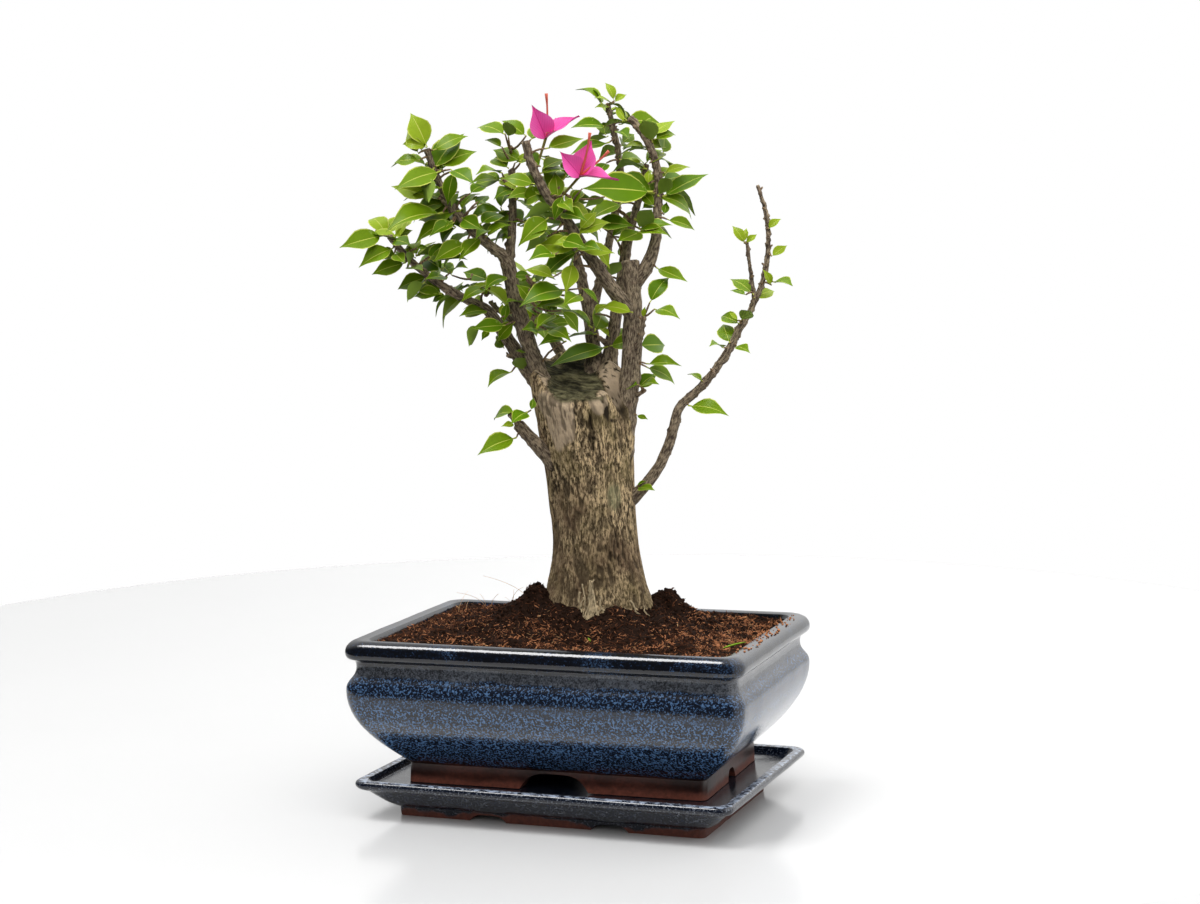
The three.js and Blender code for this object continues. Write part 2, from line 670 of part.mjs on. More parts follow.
// Where a spur points: square to the stem at its own turn round it, leaning on along the stem.
function spurWay(path, share, turn) {
  const way = wayAlong(path, share);
  const [side, other] = acrossWay(way);
  return side.clone().multiplyScalar(Math.cos(turn))
    .addScaledVector(other, Math.sin(turn))
    .addScaledVector(way, SPUR_LEAN)
    .addScaledVector(UP, SPUR_LIFT)
    .normalize();
}

// The leaves of one spur: they fan out from it, most of them away from the middle of the plant.
function spurLeaves(mass, spur, random) {
  const middle = trunkAxis(TRUNK_TOP_Z);
  const away = new THREE.Vector3(spur.tip.x - middle.x, spur.tip.y - middle.y, 0).normalize();
  const outward = away.multiplyScalar(LEAF_OUTWARD).add(spur.way).setZ(0).normalize();
  return Array.from({ length: mass.leaves }, (_, k) => {
    const fan = degrees((k - (mass.leaves - 1) / 2) * LEAF_FAN + FAN_SCATTER * (random() - 0.5));
    const pitch = degrees(THREE.MathUtils.lerp(...LEAF_PITCH, random()) + TIP_LIFT * spur.share ** 4);
    const size = mass.leaf * THREE.MathUtils.lerp(...LEAF_SIZES, random()) * (1 - TIP_SHRINK * spur.share);
    const roll = degrees(LEAF_ROLL * (random() - 0.5));
    const out = outward.clone().applyAxisAngle(UP, fan)
      .multiplyScalar(Math.cos(pitch))
      .addScaledVector(UP, Math.sin(pitch));
    const root = spur.foot.clone().lerp(spur.tip, FIRST_LEAF - LEAF_STEP * k);
    return { root, out, size, roll };
  });
}

// The spurs of one stem, spaced along it and turned by the golden angle from one to the next.
function stemSpurs(mass, path, nodes, random) {
  return Array.from({ length: nodes }, (_, node) => {
    const share = THREE.MathUtils.lerp(FIRST_NODE, 1, (node + NODE_OFFSET) / nodes);
    const turn = degrees(node * GOLDEN_ANGLE + TURN_SCATTER * random());
    const way = spurWay(path, share, turn);
    const foot = pointAlong(path, share);
    const tip = foot.clone().addScaledVector(way, THREE.MathUtils.lerp(...SPUR_LENGTHS, random()));
    const spur = { foot, tip, way, share };
    spur.blades = spurLeaves(mass, spur, random);
    return spur;
  });
}

function leafSolid(blade, bare) {
  const root = blade.root.clone().addScaledVector(blade.out, bare * blade.size);
  const face = leafFace(blade.out, blade.roll);
  return bladeSolid(root, blade.out, face, blade.size * (1 - bare), LEAF_WIDTH, LEAF_ARCH);
}

function withinReach(blade, foot, reach) {
  return blade.root.clone().addScaledVector(blade.out, blade.size).distanceTo(foot) < reach;
}

// One mass: its stem and forks, with spurs and leaves that touch nothing else and stay in reach.
function leafMass(name, mass) {
  const random = seeded(mass.seed);
  const path = paths[name];
  let whole = cutClear(limbSolid(path, mass.girth, STEM_SIDES));
  let spurs = stemSpurs(mass, path, mass.nodes, random);
  (mass.forks ?? []).forEach((fork) => {
    const side = limbPath(fork, pointAlong(path, fork.at), STEM_STEPS / 2);
    whole = whole.add(cutClear(limbSolid(side, fork.girth, STEM_SIDES)));
    spurs = spurs.concat(stemSpurs(mass, side, fork.nodes, random));
  });
  const kept = [];
  spurs.forEach((spur) => {
    const twig = straightTwig(spur.foot, spur.tip, SPUR_GIRTH);
    if (touchesTaken(twig)) {
      return;
    }
    whole = whole.add(twig);
    spur.blades.filter((blade) => withinReach(blade, spur.foot, mass.reach)).forEach((blade) => {
      const solid = leafSolid(blade, 0);
      const clearPart = leafSolid(blade, LEAF_BARE);
      if (!touchesTaken(solid) && kept.every((other) => clearPart.intersect(other).isEmpty())) {
        whole = whole.add(solid);
        kept.push(solid);
      }
    });
  });
  const body = largestBody(whole);
  keepClearOf(body);
  return toMesh(name, body, FINISH.leaves);
}

// One bloom: a stalk, then bracts that lean out all round, each with a flower tube before it.
function bloom(name, flower) {
  const run = { ...flower, sweep: 0, swing: 0, length: flower.stalk };
  const path = placePath(name, run, STALK_STEPS);
  const tip = path.points[STALK_STEPS];
  const way = path.ways[STALK_STEPS];
  const [side, other] = acrossWay(way);
  const stem = limbSolid(paths[flower.on], MASSES[flower.on].girth, STEM_SIDES, CLEAR);
  let whole = cutClear(limbSolid(path, STALK_GIRTH, STEM_SIDES).subtract(stem));
  for (let i = 0; i < BRACTS; i += 1) {
    const turn = 2 * Math.PI * i / BRACTS;
    const out = side.clone().multiplyScalar(Math.cos(turn)).addScaledVector(other, Math.sin(turn));
    const lean = out.clone().addScaledVector(way, BRACT_LEAN).normalize();
    const face = way.clone().addScaledVector(lean, -way.dot(lean)).normalize();
    const root = tip.clone().addScaledVector(lean, -STALK_GIRTH[1] / 2);
    whole = whole.add(bladeSolid(root, lean, face, flower.bract, BRACT_WIDTH, BRACT_ARCH));
    const tubeWay = out.clone().multiplyScalar(TUBE_SPLAY).add(way).normalize();
    const tubeEnd = tip.clone().addScaledVector(tubeWay, TUBE_LENGTH);
    const tubeFoot = tip.clone().addScaledVector(tubeWay, -TUBE_GIRTH[1] / 2);
    whole = whole.add(straightTwig(tubeFoot, tubeEnd, TUBE_GIRTH));
  }
  const body = largestBody(whole);
  keepClearOf(body);
  return toMesh(name, body, FINISH.bloom);
}

const bonsai = new THREE.Group();
bonsai.name = 'bougainvillea_bonsai';
bonsai.add(saucer(), pot());
bonsai.add(toMesh('soil', soil(), FINISH.soil));
bonsai.add(toMesh('trunk', trunkSolid(0), FINISH.trunk));
keepClearOf(trunkSolid(CLEAR));
Object.entries(BOUGHS).forEach(([name, run]) => bonsai.add(bough(name, run)));
Object.entries(MASSES).forEach(([name, mass]) => placePath(name, mass, STEM_STEPS));
Object.entries(BLOOMS).forEach(([name, flower]) => bonsai.add(bloom(name, flower)));
Object.entries(MASSES).forEach(([name, mass]) => bonsai.add(leafMass(name, mass)));

export default bonsai;
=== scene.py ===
"""Looks of a bougainvillea bonsai in its glazed pot and saucer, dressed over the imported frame.

The file is laid out as an add-on and is run as a script. Tables and shapes are in millimetres, in
the part's own frame, and become metres when a mesh is made of them. Heights in finishes are metres.
"""

import itertools
import json
import math
from collections import namedtuple

import bpy
import numpy as np
from bpy.props import FloatProperty, FloatVectorProperty, IntProperty, PointerProperty
from mathutils import Matrix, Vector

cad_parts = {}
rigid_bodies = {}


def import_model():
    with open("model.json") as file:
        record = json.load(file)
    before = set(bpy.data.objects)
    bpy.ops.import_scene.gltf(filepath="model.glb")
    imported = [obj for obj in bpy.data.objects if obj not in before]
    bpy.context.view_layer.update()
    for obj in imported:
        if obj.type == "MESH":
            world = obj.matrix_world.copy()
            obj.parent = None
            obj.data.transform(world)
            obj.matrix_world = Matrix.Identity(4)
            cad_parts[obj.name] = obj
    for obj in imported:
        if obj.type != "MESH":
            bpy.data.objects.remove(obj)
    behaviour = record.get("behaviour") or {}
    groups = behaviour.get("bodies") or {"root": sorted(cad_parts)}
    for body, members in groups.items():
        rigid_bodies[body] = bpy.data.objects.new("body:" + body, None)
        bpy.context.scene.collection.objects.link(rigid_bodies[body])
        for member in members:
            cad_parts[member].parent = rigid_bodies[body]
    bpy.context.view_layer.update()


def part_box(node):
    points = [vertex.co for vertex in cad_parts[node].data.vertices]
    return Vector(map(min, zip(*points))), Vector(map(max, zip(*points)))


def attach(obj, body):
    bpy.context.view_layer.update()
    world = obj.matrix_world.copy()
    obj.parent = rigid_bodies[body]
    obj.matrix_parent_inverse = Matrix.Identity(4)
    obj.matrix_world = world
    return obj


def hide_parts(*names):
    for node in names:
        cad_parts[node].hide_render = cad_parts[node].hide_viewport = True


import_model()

bl_info = {
    "name": "Bougainvillea bonsai",
    "version": (1, 0, 0),
    "blender": (4, 5, 0),
    "location": "3D View > Sidebar > Bonsai",
    "description": "Dresses a potted bougainvillea bonsai over its packed solids",
    "category": "Object",
}

BODY = "root"
ROOT_SEED, BOUGH_SEED, TWIG_SEED, BLOOM_SEED = 17, 29, 31, 41
MM = 0.001
UP = np.array([0.0, 0.0, 1.0])

# The camera's place, its turns in degrees, and its lens. It looks down a little and from the right.
CAMERA_AT = (477.35, -1375.71, 360.07)
CAMERA_YAW, CAMERA_DIP, CAMERA_ROLL = 18.66, 5.54, -0.8
CAMERA_LENS, CAMERA_SENSOR, CAMERA_CLIP = 71.44, 36, (0.05, 50)
VIEW_TURN = math.radians(CAMERA_YAW)
TO_VIEWER = VIEW_TURN - math.pi / 2
FRONT = np.array([math.cos(TO_VIEWER), math.sin(TO_VIEWER), 0])
RIGHT = np.array([math.cos(VIEW_TURN), math.sin(VIEW_TURN), 0])

# A vessel: the outline of its foot, the curves up to its lip and the outline inside, as inset from
# the rim and height. Then the steps of a curve, the corner's radius, the depth of the hollow under
# its foot, the notches in the foot as width, rise, turn and shift, and the seed of its unevenness.
Vessel = namedtuple("Vessel", "foot curves inside steps corner hollow notches seed")
POT = Vessel(
    [(30.5, 20.3), (31, 32)],
    [
        [(18, 44), (0.5, 58), (0.5, 80)], [(0.5, 87), (5.5, 87), (5.5, 94)],
        [(5.5, 97), (5, 99), (1.8, 99.5)], [(-0.75, 101), (-0.75, 109.1), (6, 110.6)],
    ],
    [(9, 110.5), (11.5, 109.9), (13, 107.6), (14, 80), (22, 54), (34.5, 43)],
    14, 11, 8, [(44, 10, 0, 0), (16, 7, math.pi / 2, 0)], 1)
SAUCER = Vessel(
    [(22.1, 0), (21.5, 5.6)],
    [
        [(17, 6.9), (10, 13), (5.6, 17.8)], [(3, 18.6), (0.6, 18.8), (0, 21.6)],
        [(0, 23.2), (1.0, 24.4), (3, 24.4)],
    ],
    [(6.2, 24), (7.2, 22.6), (8.4, 20.3), (10, 20)],
    10, 9, 5.6, [(24, 4, 0, -39), (24, 4, 0, 39)], 7)
SAUCER_TURN = math.radians(-1.5)
FOOT_WALL = 12
NOTCH_LENGTH = 300
CORNER_EASE = 0.2
CORNER_LEAST = 4
CARVED_CREASE = math.radians(34)

# Heights in metres where one kind of glaze or clay gives way to the next.
STAIN_FROM, STAIN_GLOSS_FROM, GLAZE_FROM = (0.0215, 0.0265), (0.022, 0.0265), (0.0325, 0.0345)
RICH_FROM, NECK_FROM, LIP_FROM = (0.070, 0.076), (0.0885, 0.0905), (0.0955, 0.0975)
# DISH_LIP_FROM is where the saucer's pale lip flecks begin: thin glaze with painted sparkle highlights.
DISH_GLAZE_FROM, DISH_LIP_FROM = (0.0035, 0.0055), (0.0232, 0.0242)

# Trunk: ground level, lean, widths and the sawn top.
GROUND_Z = 114
TRUNK_FOOT_AT = (10.5, 3.5)
TRUNK_LEAN = -11
LEAN_SPAN = 144
WAIST_WIDTH, WAIST_Z = 51, 176
SHOULDER_WIDTH, SHOULDER_Z = 59, 240
FLARE_WIDTH, FLARE_FALL = 33, 20
SAWN_MID_Z = 266
SAWN_SLOPE = math.radians(24)
TRUNK_SIDES, TRUNK_LEVELS, TOP_RINGS = 340, 250, 22
# The cut face is an oval inside bark shoulders. A cleft parts the right bough from the rim.
SAWN_AT, SAWN_SIZE = (-3, -2), (20, 27)
CLEFT_TURN, CLEFT_WIDTH, CLEFT_DEPTH = TO_VIEWER + math.radians(60), 0.26, 16
# Each shoulder: to the right of the trunk's middle, behind it, its rise and its breadth.
SHOULDERS = [(-26, -8, 9, 8), (19, 4, 8, 7)]
# Marks on the trunk's front: millimetres to the right of the line that faces the viewer, and height.
SLOT_AT, SLOT_SIZE = (3, 233), (1.9, 12)
SCAR_AT, SCAR_SIZE = (11.5, 167), (4.5, 9)
LICHEN_AT, LICHEN_SIZE = (13.5, 193), (5, 9)
PLATES = [((-15, 244), (15, 17)), ((11, 252), (6, 9))]
RIFTS = [((6, 254), (7, 1.8)), ((15, 247), (2.2, 7)), ((-4, 247), (1.1, 6)), ((19, 240), (4, 1.4))]

SOIL_EDGE_Z = 107
RIM_Z = 110.4
MOUND_Z = 125
MOUND_RADIUS = 34
SOIL_HALF = (113.6, 76.6)

# A limb sets out from a point, or from a share of the way along another limb, at a heading in plan
# and a rise above level. Over its length the rise changes by sweep and the heading by swing.
Run = namedtuple("Run", "foot heading rise sweep swing length girth")
Fork = namedtuple("Fork", "run nodes")
Mass = namedtuple("Mass", "run nodes leaves leaf reach seed forks", defaults=((),))
Bloom = namedtuple("Bloom", "foot heading rise stalk bracts tubes")

BOUGHS = {
    "bough_left": Run((-18, -3.5, 254), 211, 65, 16, 17, 89, (10.4, 8.8)),
    "bough_left_low": Run((-17, -1, 246), 178, 57, 0, 44, 74, (10.5, 7)),
    "bough_right": Run((24, 3.5, 222), 20, 77, 18, -10, 115, (14, 10.5)),
    "bough_right_upper": Run(("bough_right", 0.86), 13, 43, 51, 58, 46, (8.5, 6)),
    "bough_cross": Run(("bough_right", 0.71), 232, 47, 12, -14, 74, (9, 6.5)),
    "bough_back_left": Run((5, 15, 268), 109, 67, 6, 54, 74, (8.5, 6)),
    "bough_back_right": Run((13, 15, 262), 81, 76, 5, -62, 90, (8.5, 6)),
    "bough_top": Run(("bough_back_left", 0.42), 85, 64, 18, -68, 95, (6, 4.5)),
    "bough_behind": Run((-3, 16, 246), 123, 42, 1, 26, 64, (9, 6)),
    "bough_low": Run((29, 4, 188.5), 0, 37, 49, 9, 68, (7, 5.4)),
    "bough_low_outer": Run(("bough_low", 1), 12, 36, 31, 4, 63, (5.2, 4.4)),
    "stub_left": Run((-14, -12, 215), 226, 43, 7, -15, 32, (8.5, 6.2)),
}

# How much thicker some boughs are at the foot, as a share of their girth there.
COLLARS = {"bough_left": 0.08, "bough_right": 0.3, "bough_back_right": 1.1, "bough_back_left": 0.7}

# Each mass of leaves: its stem, the nodes on it, leaves at a node, full leaf, reach, seed, forks.
MASSES = {
    "leaves_left_low": Mass(
        Run(("bough_left_low", 1), 220, 19, 36, -18, 76, (5.6, 3.6)), 10, 3, 37, 52, 12),
    "leaves_left_top": Mass(
        Run(("bough_left", 1), 217, 30, 48, -12, 84, (6, 3.8)), 9, 3, 34, 48, 23,
        (Fork(Run(("leaves_left_top", 0.36), 214, 38, 20, 0, 26, (3.4, 2.4)), 3),)),
    "leaves_left_mid": Mass(
        Run(("bough_left", 0.96), 69, 74, 9, 60, 58, (5.6, 4)), 6, 3, 32, 46, 37,
        (Fork(Run(("leaves_left_mid", 0.68), 205, 60, 20, 0, 14, (3, 2)), 1),)),
    "leaves_cross": Mass(
        Run(("bough_cross", 1), 221, 44, 37, -25, 53, (6, 4.4)), 7, 3, 34, 46, 53),
    "leaves_right": Mass(
        Run(("bough_right_upper", 1), 86, 71, 65, -83, 66, (5.4, 4)), 8, 3, 33, 46, 97),
    "leaves_top": Mass(
        Run(("bough_top", 1), 19, 94, 13, 0, 46, (4, 2.6)), 6, 3, 28, 42, 83),
    "leaves_far_right": Mass(
        Run(("bough_low_outer", 1), 30, 52, 61, -35, 90, (3.9, 1.9)), 7, 2, 23, 36, 131,
        (Fork(Run(("leaves_far_right", 0.2), 222, 80, 4, 0, 36, (2.4, 1.5)), 2),)),
    "leaves_stub": Mass(
        Run(("stub_left", 0.9), 230, 60, -30, 0, 12, (3.2, 2.2)), 2, 3, 27, 36, 139),
    "leaves_right_inner": Mass(
        Run(("bough_right", 0.46), 318, 46, 42, 31, 32, (3, 2)), 3, 2, 32, 40, 101),
    "leaves_right_low": Mass(
        Run(("bough_right", 0.26), 350, 20, 10, 0, 14, (2.6, 1.8)), 2, 2, 27, 36, 103),
    "leaves_low_mid": Mass(
        Run(("bough_low_outer", 0.35), 340, 40, 20, 0, 12, (2.6, 1.8)), 2, 2, 27, 36, 127),
    "leaves_left_foot": Mass(
        Run(("bough_left_low", 0.5), 220, 10, 0, 0, 9, (2.6, 1.8)), 2, 2, 27, 40, 49),
    "leaves_trunk_top": Mass(
        Run(("bough_back_right", 0.22), 250, 35, -10, 10, 16, (3, 2.2)), 2, 3, 38, 48, 109),
    "leaves_left_front": Mass(
        Run(("bough_left", 0.42), 290, 30, 20, 30, 24, (3.2, 2.2)), 4, 3, 34, 48, 47),
    "leaves_cross_low": Mass(
        Run(("bough_cross", 0.55), 250, 30, 20, 0, 26, (3.2, 2.2)), 4, 3, 34, 46, 60),
    "leaves_left_inner": Mass(
        Run(("bough_left", 0.5), 150, 20, 20, 20, 32, (3.4, 2.2)), 4, 3, 36, 50, 41),
    "leaves_back_right": Mass(
        Run(("bough_back_right", 1), 19, 72, 6, 0, 46, (5, 3.4)), 6, 3, 33, 46, 71),
    "leaves_back_left": Mass(
        Run(("bough_back_left", 1), 147, 66, 10, 18, 50, (5, 3.4)), 7, 3, 36, 50, 61),
    "leaves_behind": Mass(
        Run(("bough_behind", 1), 140, 40, 25, 20, 36, (5, 3.2)), 7, 3, 36, 50, 113),
}

# Leaves that stand out in the view: root and tip, in millimetres right of the middle and above the
# floor on an upright plane that faces the viewer, and the tone: dark, mid, young or pale underside.
MARKED = {
    "leaves_left_top": [
        (-103, 400, -121, 396, "m"), (-104, 404, -112, 419, "y"), (-102, 405, -103, 420, "y"),
        (-95, 394, -76, 418, "d"), (-93, 396, -67, 406, "m"), (-90, 393, -121, 383, "m"),
        (-103, 389, -97, 373, "p"), (-82, 393, -87, 371, "d"), (-84, 394, -69, 384, "d"),
        (-72, 379, -63, 384, "d"), (-89, 367, -127, 356, "m"), (-83, 362, -108, 347, "m"),
        (-82, 361, -98, 352, "d"), (-65, 352, -80, 337, "m"), (-68, 371, -60, 378, "d"),
        (-66, 360, -50, 366, "d"), (-60, 356, -68, 350, "d"), (-62, 352, -46, 361, "m"),
        (-95, 406, -71, 414, "m"), (-79, 380, -84, 370, "p"), (-77, 364, -66, 355, "d"),
        (-67, 374, -58, 371, "d"), (-74, 348, -96, 337, "m"), (-63, 355, -72, 361, "d"),
    ],
    "leaves_left_low": [
        (-126, 353, -154, 345, "m"), (-120, 345, -142, 332, "m"), (-112, 336, -134, 327, "m"),
        (-120, 352, -107, 356, "y"), (-105, 345, -98, 346, "d"), (-99, 338, -80, 348, "d"),
        (-98, 338, -72, 339, "m"), (-107, 342, -110, 332, "p"), (-97, 340, -92, 328, "p"),
        (-100, 324, -112, 310, "p"), (-87, 316, -96, 311, "d"), (-86, 327, -100, 325, "d"),
        (-62, 321, -78, 311, "m"), (-60, 306, -80, 303, "m"), (-66, 297, -73, 283, "p"),
        (-60, 294, -65, 287, "m"), (-120, 350, -108, 347, "d"), (-111, 333, -101, 331, "m"),
        (-119, 342, -113, 335, "m"), (-84, 330, -73, 333, "m"),
    ],
    "leaves_left_inner": [
        (-60, 325, -77, 330, "d"), (-48, 327, -66, 319, "d"), (-37, 280, -44, 281, "d"),
        (-83, 328, -92, 336, "m"),
    ],
    "leaves_left_mid": [
        (-52, 387, -74, 386, "m"), (-52, 392, -69, 391, "m"), (-40, 399, -58, 407, "m"),
        (-52, 408, -63, 413, "m"), (-50, 416, -68, 421, "m"), (-30, 380, -50, 375, "m"),
        (-44, 398, -30, 404, "y"), (-46, 382, -57, 375, "d"), (-38, 388, -28, 381, "p"),
        (-37, 415, -53, 425, "m"), (-48, 414, -47, 424, "p"), (-42, 382, -53, 385, "y"),
        (-31, 385, -41, 390, "d"), (-38, 361, -55, 365, "m"),
    ],
    "leaves_left_foot": [
        (-46, 268, -64, 259, "m"), (-38, 269, -44, 277, "p"),
    ],
    "leaves_stub": [
        (-36, 243, -47, 235, "d"), (-44, 243, -58, 238, "m"), (-44, 235, -53, 234, "y"),
        (-43, 227, -69, 217, "m"), (-34, 244, -32, 252, "d"),
    ],
    "leaves_left_front": [
        (-12, 319, -43, 309, "d"), (-12, 287, -30, 284, "d"), (-19, 304, -30, 294, "m"),
        (-28, 301, -36, 309, "d"), (-50, 297, -72, 293, "d"), (-44, 299, -56, 287, "m"),
        (-49, 311, -50, 298, "d"), (-38, 310, -50, 311, "d"), (-45, 328, -33, 328, "d"),
        (-52, 302, -51, 311, "y"), (-12, 312, -32, 308, "m"), (-3, 316, -14, 308, "m"),
        (-15, 306, -3, 292, "m"), (-24, 294, -7, 287, "m"), (-30, 294, -40, 294, "d"),
        (-2, 320, 9, 310, "d"),
    ],
    "leaves_cross_low": [
        (-23, 364, -43, 345, "m"), (-18, 356, -38, 351, "m"), (-24, 352, -37, 342, "p"),
        (-19, 341, -37, 338, "d"), (-20, 327, -38, 333, "y"), (-8, 336, -12, 316, "y"),
        (5, 348, 16, 332, "y"), (-5, 346, 10, 342, "d"), (-20, 371, -39, 363, "p"),
        (-11, 347, -26, 351, "m"), (-14, 350, 1, 344, "d"),
    ],
    "leaves_cross": [
        (-25, 407, 0, 413, "m"), (-18, 378, -32, 382, "m"), (-14, 378, -20, 361, "d"),
        (-2, 382, -9, 371, "m"), (12, 377, -1, 369, "p"), (-28, 396, -38, 404, "d"),
        (-17, 375, -18, 393, "m"), (-15, 374, -8, 366, "m"), (-9, 374, -1, 381, "m"),
        (-15, 367, 0, 360, "d"),
    ],
    "leaves_trunk_top": [
        (14, 284, -23, 271, "d"), (15, 284, 35, 287, "m"), (17, 284, 30, 295, "m"), (6, 304, 13, 311, "y"),
    ],
    "leaves_top": [
        (18, 437, 12, 449, "y"), (16, 436, 5, 439, "y"), (15, 433, 5, 433, "y"), (18, 436, 26, 441, "y"),
        (26, 423, 18, 434, "y"), (13, 421, -10, 420, "d"), (15, 411, -11, 404, "d"),
        (20, 418, 28, 413, "d"), (13, 398, 7, 389, "d"),
    ],
    "leaves_right": [
        (42, 411, 36, 426, "p"), (43, 413, 57, 416, "m"), (48, 377, 77, 392, "d"), (45, 378, 54, 389, "p"),
        (43, 379, 12, 388, "d"), (42, 380, -3, 382, "d"), (33, 357, 55, 359, "d"), (51, 363, 69, 355, "m"),
        (44, 333, 63, 323, "m"), (40, 398, 52, 404, "y"), (49, 392, 66, 396, "y"), (39, 385, 40, 394, "y"),
        (43, 371, 34, 380, "m"), (49, 366, 51, 374, "d"), (33, 357, 42, 370, "p"), (33, 355, 53, 353, "m"),
    ],
    "leaves_back_right": [
        (23, 373, 1, 362, "m"), (5, 361, 31, 357, "d"), (15, 370, -1, 361, "d"), (16, 352, 28, 358, "m"),
        (26, 352, 25, 337, "d"), (12, 327, 27, 337, "p"), (34, 394, 27, 402, "y"), (15, 371, 7, 375, "d"),
        (35, 356, 22, 347, "m"),
    ],
    "leaves_right_inner": [
        (40, 311, 53, 328, "d"), (43, 307, 60, 301, "m"), (36, 302, 37, 309, "y"),
    ],
    "leaves_right_low": [
        (38, 273, 60, 270, "m"), (38, 271, 57, 260, "m"), (33, 260, 22, 257, "d"), (34, 259, 46, 260, "m"),
        (32, 241, 39, 238, "m"),
    ],
    "leaves_low_mid": [
        (64, 247, 91, 241, "m"), (73, 262, 63, 267, "m"), (86, 283, 77, 284, "m"), (90, 286, 84, 298, "m"),
        (94, 284, 102, 279, "m"), (33, 196, 42, 193, "m"), (32, 197, 38, 200, "d"),
    ],
    "leaves_far_right": [
        (96, 298, 83, 302, "m"), (95, 300, 89, 305, "y"), (97, 300, 104, 306, "p"),
        (105, 316, 91, 327, "m"), (100, 316, 90, 319, "d"), (105, 314, 119, 318, "y"),
        (117, 324, 131, 322, "m"), (116, 322, 110, 332, "y"), (99, 348, 92, 360, "y"),
        (99, 349, 100, 358, "y"), (100, 348, 107, 354, "y"), (114, 357, 122, 364, "y"),
        (116, 340, 126, 347, "y"),
    ],
}
TONES = {"d": "dark", "m": "mid", "y": "young", "p": "mid"}
# A marked leaf starts a little before its stem. One whose tip is higher than its root by more than
# RISING leans back, and of the rest one that shows longer than LONG leans forward.
ROOT_BEFORE, ROOT_SLANT = 2, 0.4
RISING, LONG = 3, 24
SMALL_SPAN, SMALL_STRETCH, FULL_STRETCH = 9, 1.1, 1.06
FULL_MORE, FULL_MOST = 8, 24
STEM_STEPS = 40
# Where a mass has marked leaves, the rule's own leaves are kept only if they point away from the
# viewer, or no more than a little towards the viewer in an oval where the plant is dense.
AWAY_LEAST, DENSE_MOST = 0.15, 0.2
DENSE_AT, DENSE_SIZE = (-32, 345), (62, 52)
# Masses that carry marked leaves only.
NO_RULE = {"leaves_far_right", "leaves_low_mid", "leaves_stub"}

# Each bloom: where its stalk leaves a stem, its way and stalk. Then the tips of bracts and of flower
# tubes: to the right, up and towards the viewer from the stalk's end. A bract's last number says how
# far its face turns to the viewer.
BLOOMS = {
    "bloom_upper": Bloom(
        ("leaves_cross", 0.62), 19, 72, 22, [(-8, 20, 7, 0.9), (20, 14, 4, 0.2), (5, 13, -15, -0.5)],
        [(0.5, 26, 1), (-3, 9, -3), (3, 8, -3)]),
    "bloom_lower": Bloom(
        ("leaves_cross", 0.2), 0, 46, 24, [(-12, 15, 7, 0.9), (24, -2, 5, 0.12), (7, 22, -3, 0.5)],
        [(6, 25, 4), (17, 14, 5), (-1, 9, -4)]),
}

# Limbs: step between rings, rounds of easing at the joints, depth of the root, gaps between warts.
LIMB_STEP, LIMB_EASE = 0.9, 40
ROOT_DEPTH = 20
WART_GAP, SLIM_WART_GAP, SLIM_GIRTH = 4.2, 1.8, 6.5
TWIG_RADIUS, TWIG_TIP = 1.3, 8

# The rule of the leaves, as the solids have it.
LIMB_STEPS = 6
PLANT_MID_Z = 282
GOLDEN_ANGLE = 137.5
SPUR_LENGTHS = (4.9, 9.8)
SPUR_GIRTH = (2.04, 1.7)
SPUR_LEAN, SPUR_LIFT = 0.45, 0.25
FIRST_NODE, NODE_OFFSET = 0.1, 0.65
TURN_SCATTER, FAN_SCATTER = 50, 45
LEAF_FAN, LEAF_ROLL = 85, 100
LEAF_OUTWARD = 0.6
LEAF_PITCH, TIP_LIFT = (-42, 18), 45
LEAF_SIZES, TIP_SHRINK = (0.62, 1.08), 0.25
FIRST_LEAF, LEAF_STEP = 0.95, 0.25
STEEP = 0.95


def lerp(pair, share):
    return pair[0] + (pair[1] - pair[0]) * share


def unit(vectors):
    return vectors / np.linalg.norm(vectors, axis=-1, keepdims=True)


def smoothstep(low, high, value):
    share = np.clip((value - low) / (high - low), 0, 1)
    return share * share * (3 - 2 * share)


def hump(value, breadth):
    """A share that is full where a value is nought and falls away on both sides."""
    return np.exp(-(value / breadth) ** 2)


def all_round(count):
    """Angles spaced evenly all round, as one row."""
    return np.linspace(0, 2 * math.pi, count, endpoint=False)[None, :]


def polar(radius, turn, z):
    """Points at a radius and an angle about the upright axis, at a height."""
    return np.stack(np.broadcast_arrays(radius * np.cos(turn), radius * np.sin(turn), z), -1)


def turned(vector, axis, angle):
    """A vector turned about an axis by an angle."""
    along = axis * (vector @ axis)
    return along + (vector - along) * math.cos(angle) + np.cross(axis, vector) * math.sin(angle)


def seeded(seed):
    """Repeatable random numbers from 0 to 1, the same as the solids use."""
    mask = 0xFFFFFFFF
    state = seed * 7919

    def draw():
        nonlocal state
        state = (state + 0x6D2B79F5) & mask
        mixed = ((state ^ (state >> 15)) * (state | 1)) & mask
        mixed ^= (mixed + (((mixed ^ (mixed >> 7)) * (mixed | 61)) & mask)) & mask
        return ((mixed ^ (mixed >> 14)) & mask) / 4294967296

    return draw


def lumps(points, size, seed=0):
    """Smooth random values from -1 to 1 at points, with lumps of a given size."""
    scaled = np.asarray(points, float) / size
    cell = np.floor(scaled).astype(np.int64)
    part = scaled - cell
    part = part * part * (3 - 2 * part)
    total = np.zeros(scaled.shape[:-1])
    for corner in itertools.product((0, 1), repeat=3):
        key = (cell + corner) * np.array([73856093, 19349663, 83492791])
        mixed = key[..., 0] ^ key[..., 1] ^ key[..., 2] ^ (seed * 40503 + 977)
        mixed = ((mixed ^ (mixed >> 13)) * 1274126177) & 0x7FFFFFFF
        value = ((mixed ^ (mixed >> 15)) & 0xFFFF) / 32767.5 - 1
        total += value * np.prod(np.where(corner, part, 1 - part), axis=-1)
    return total


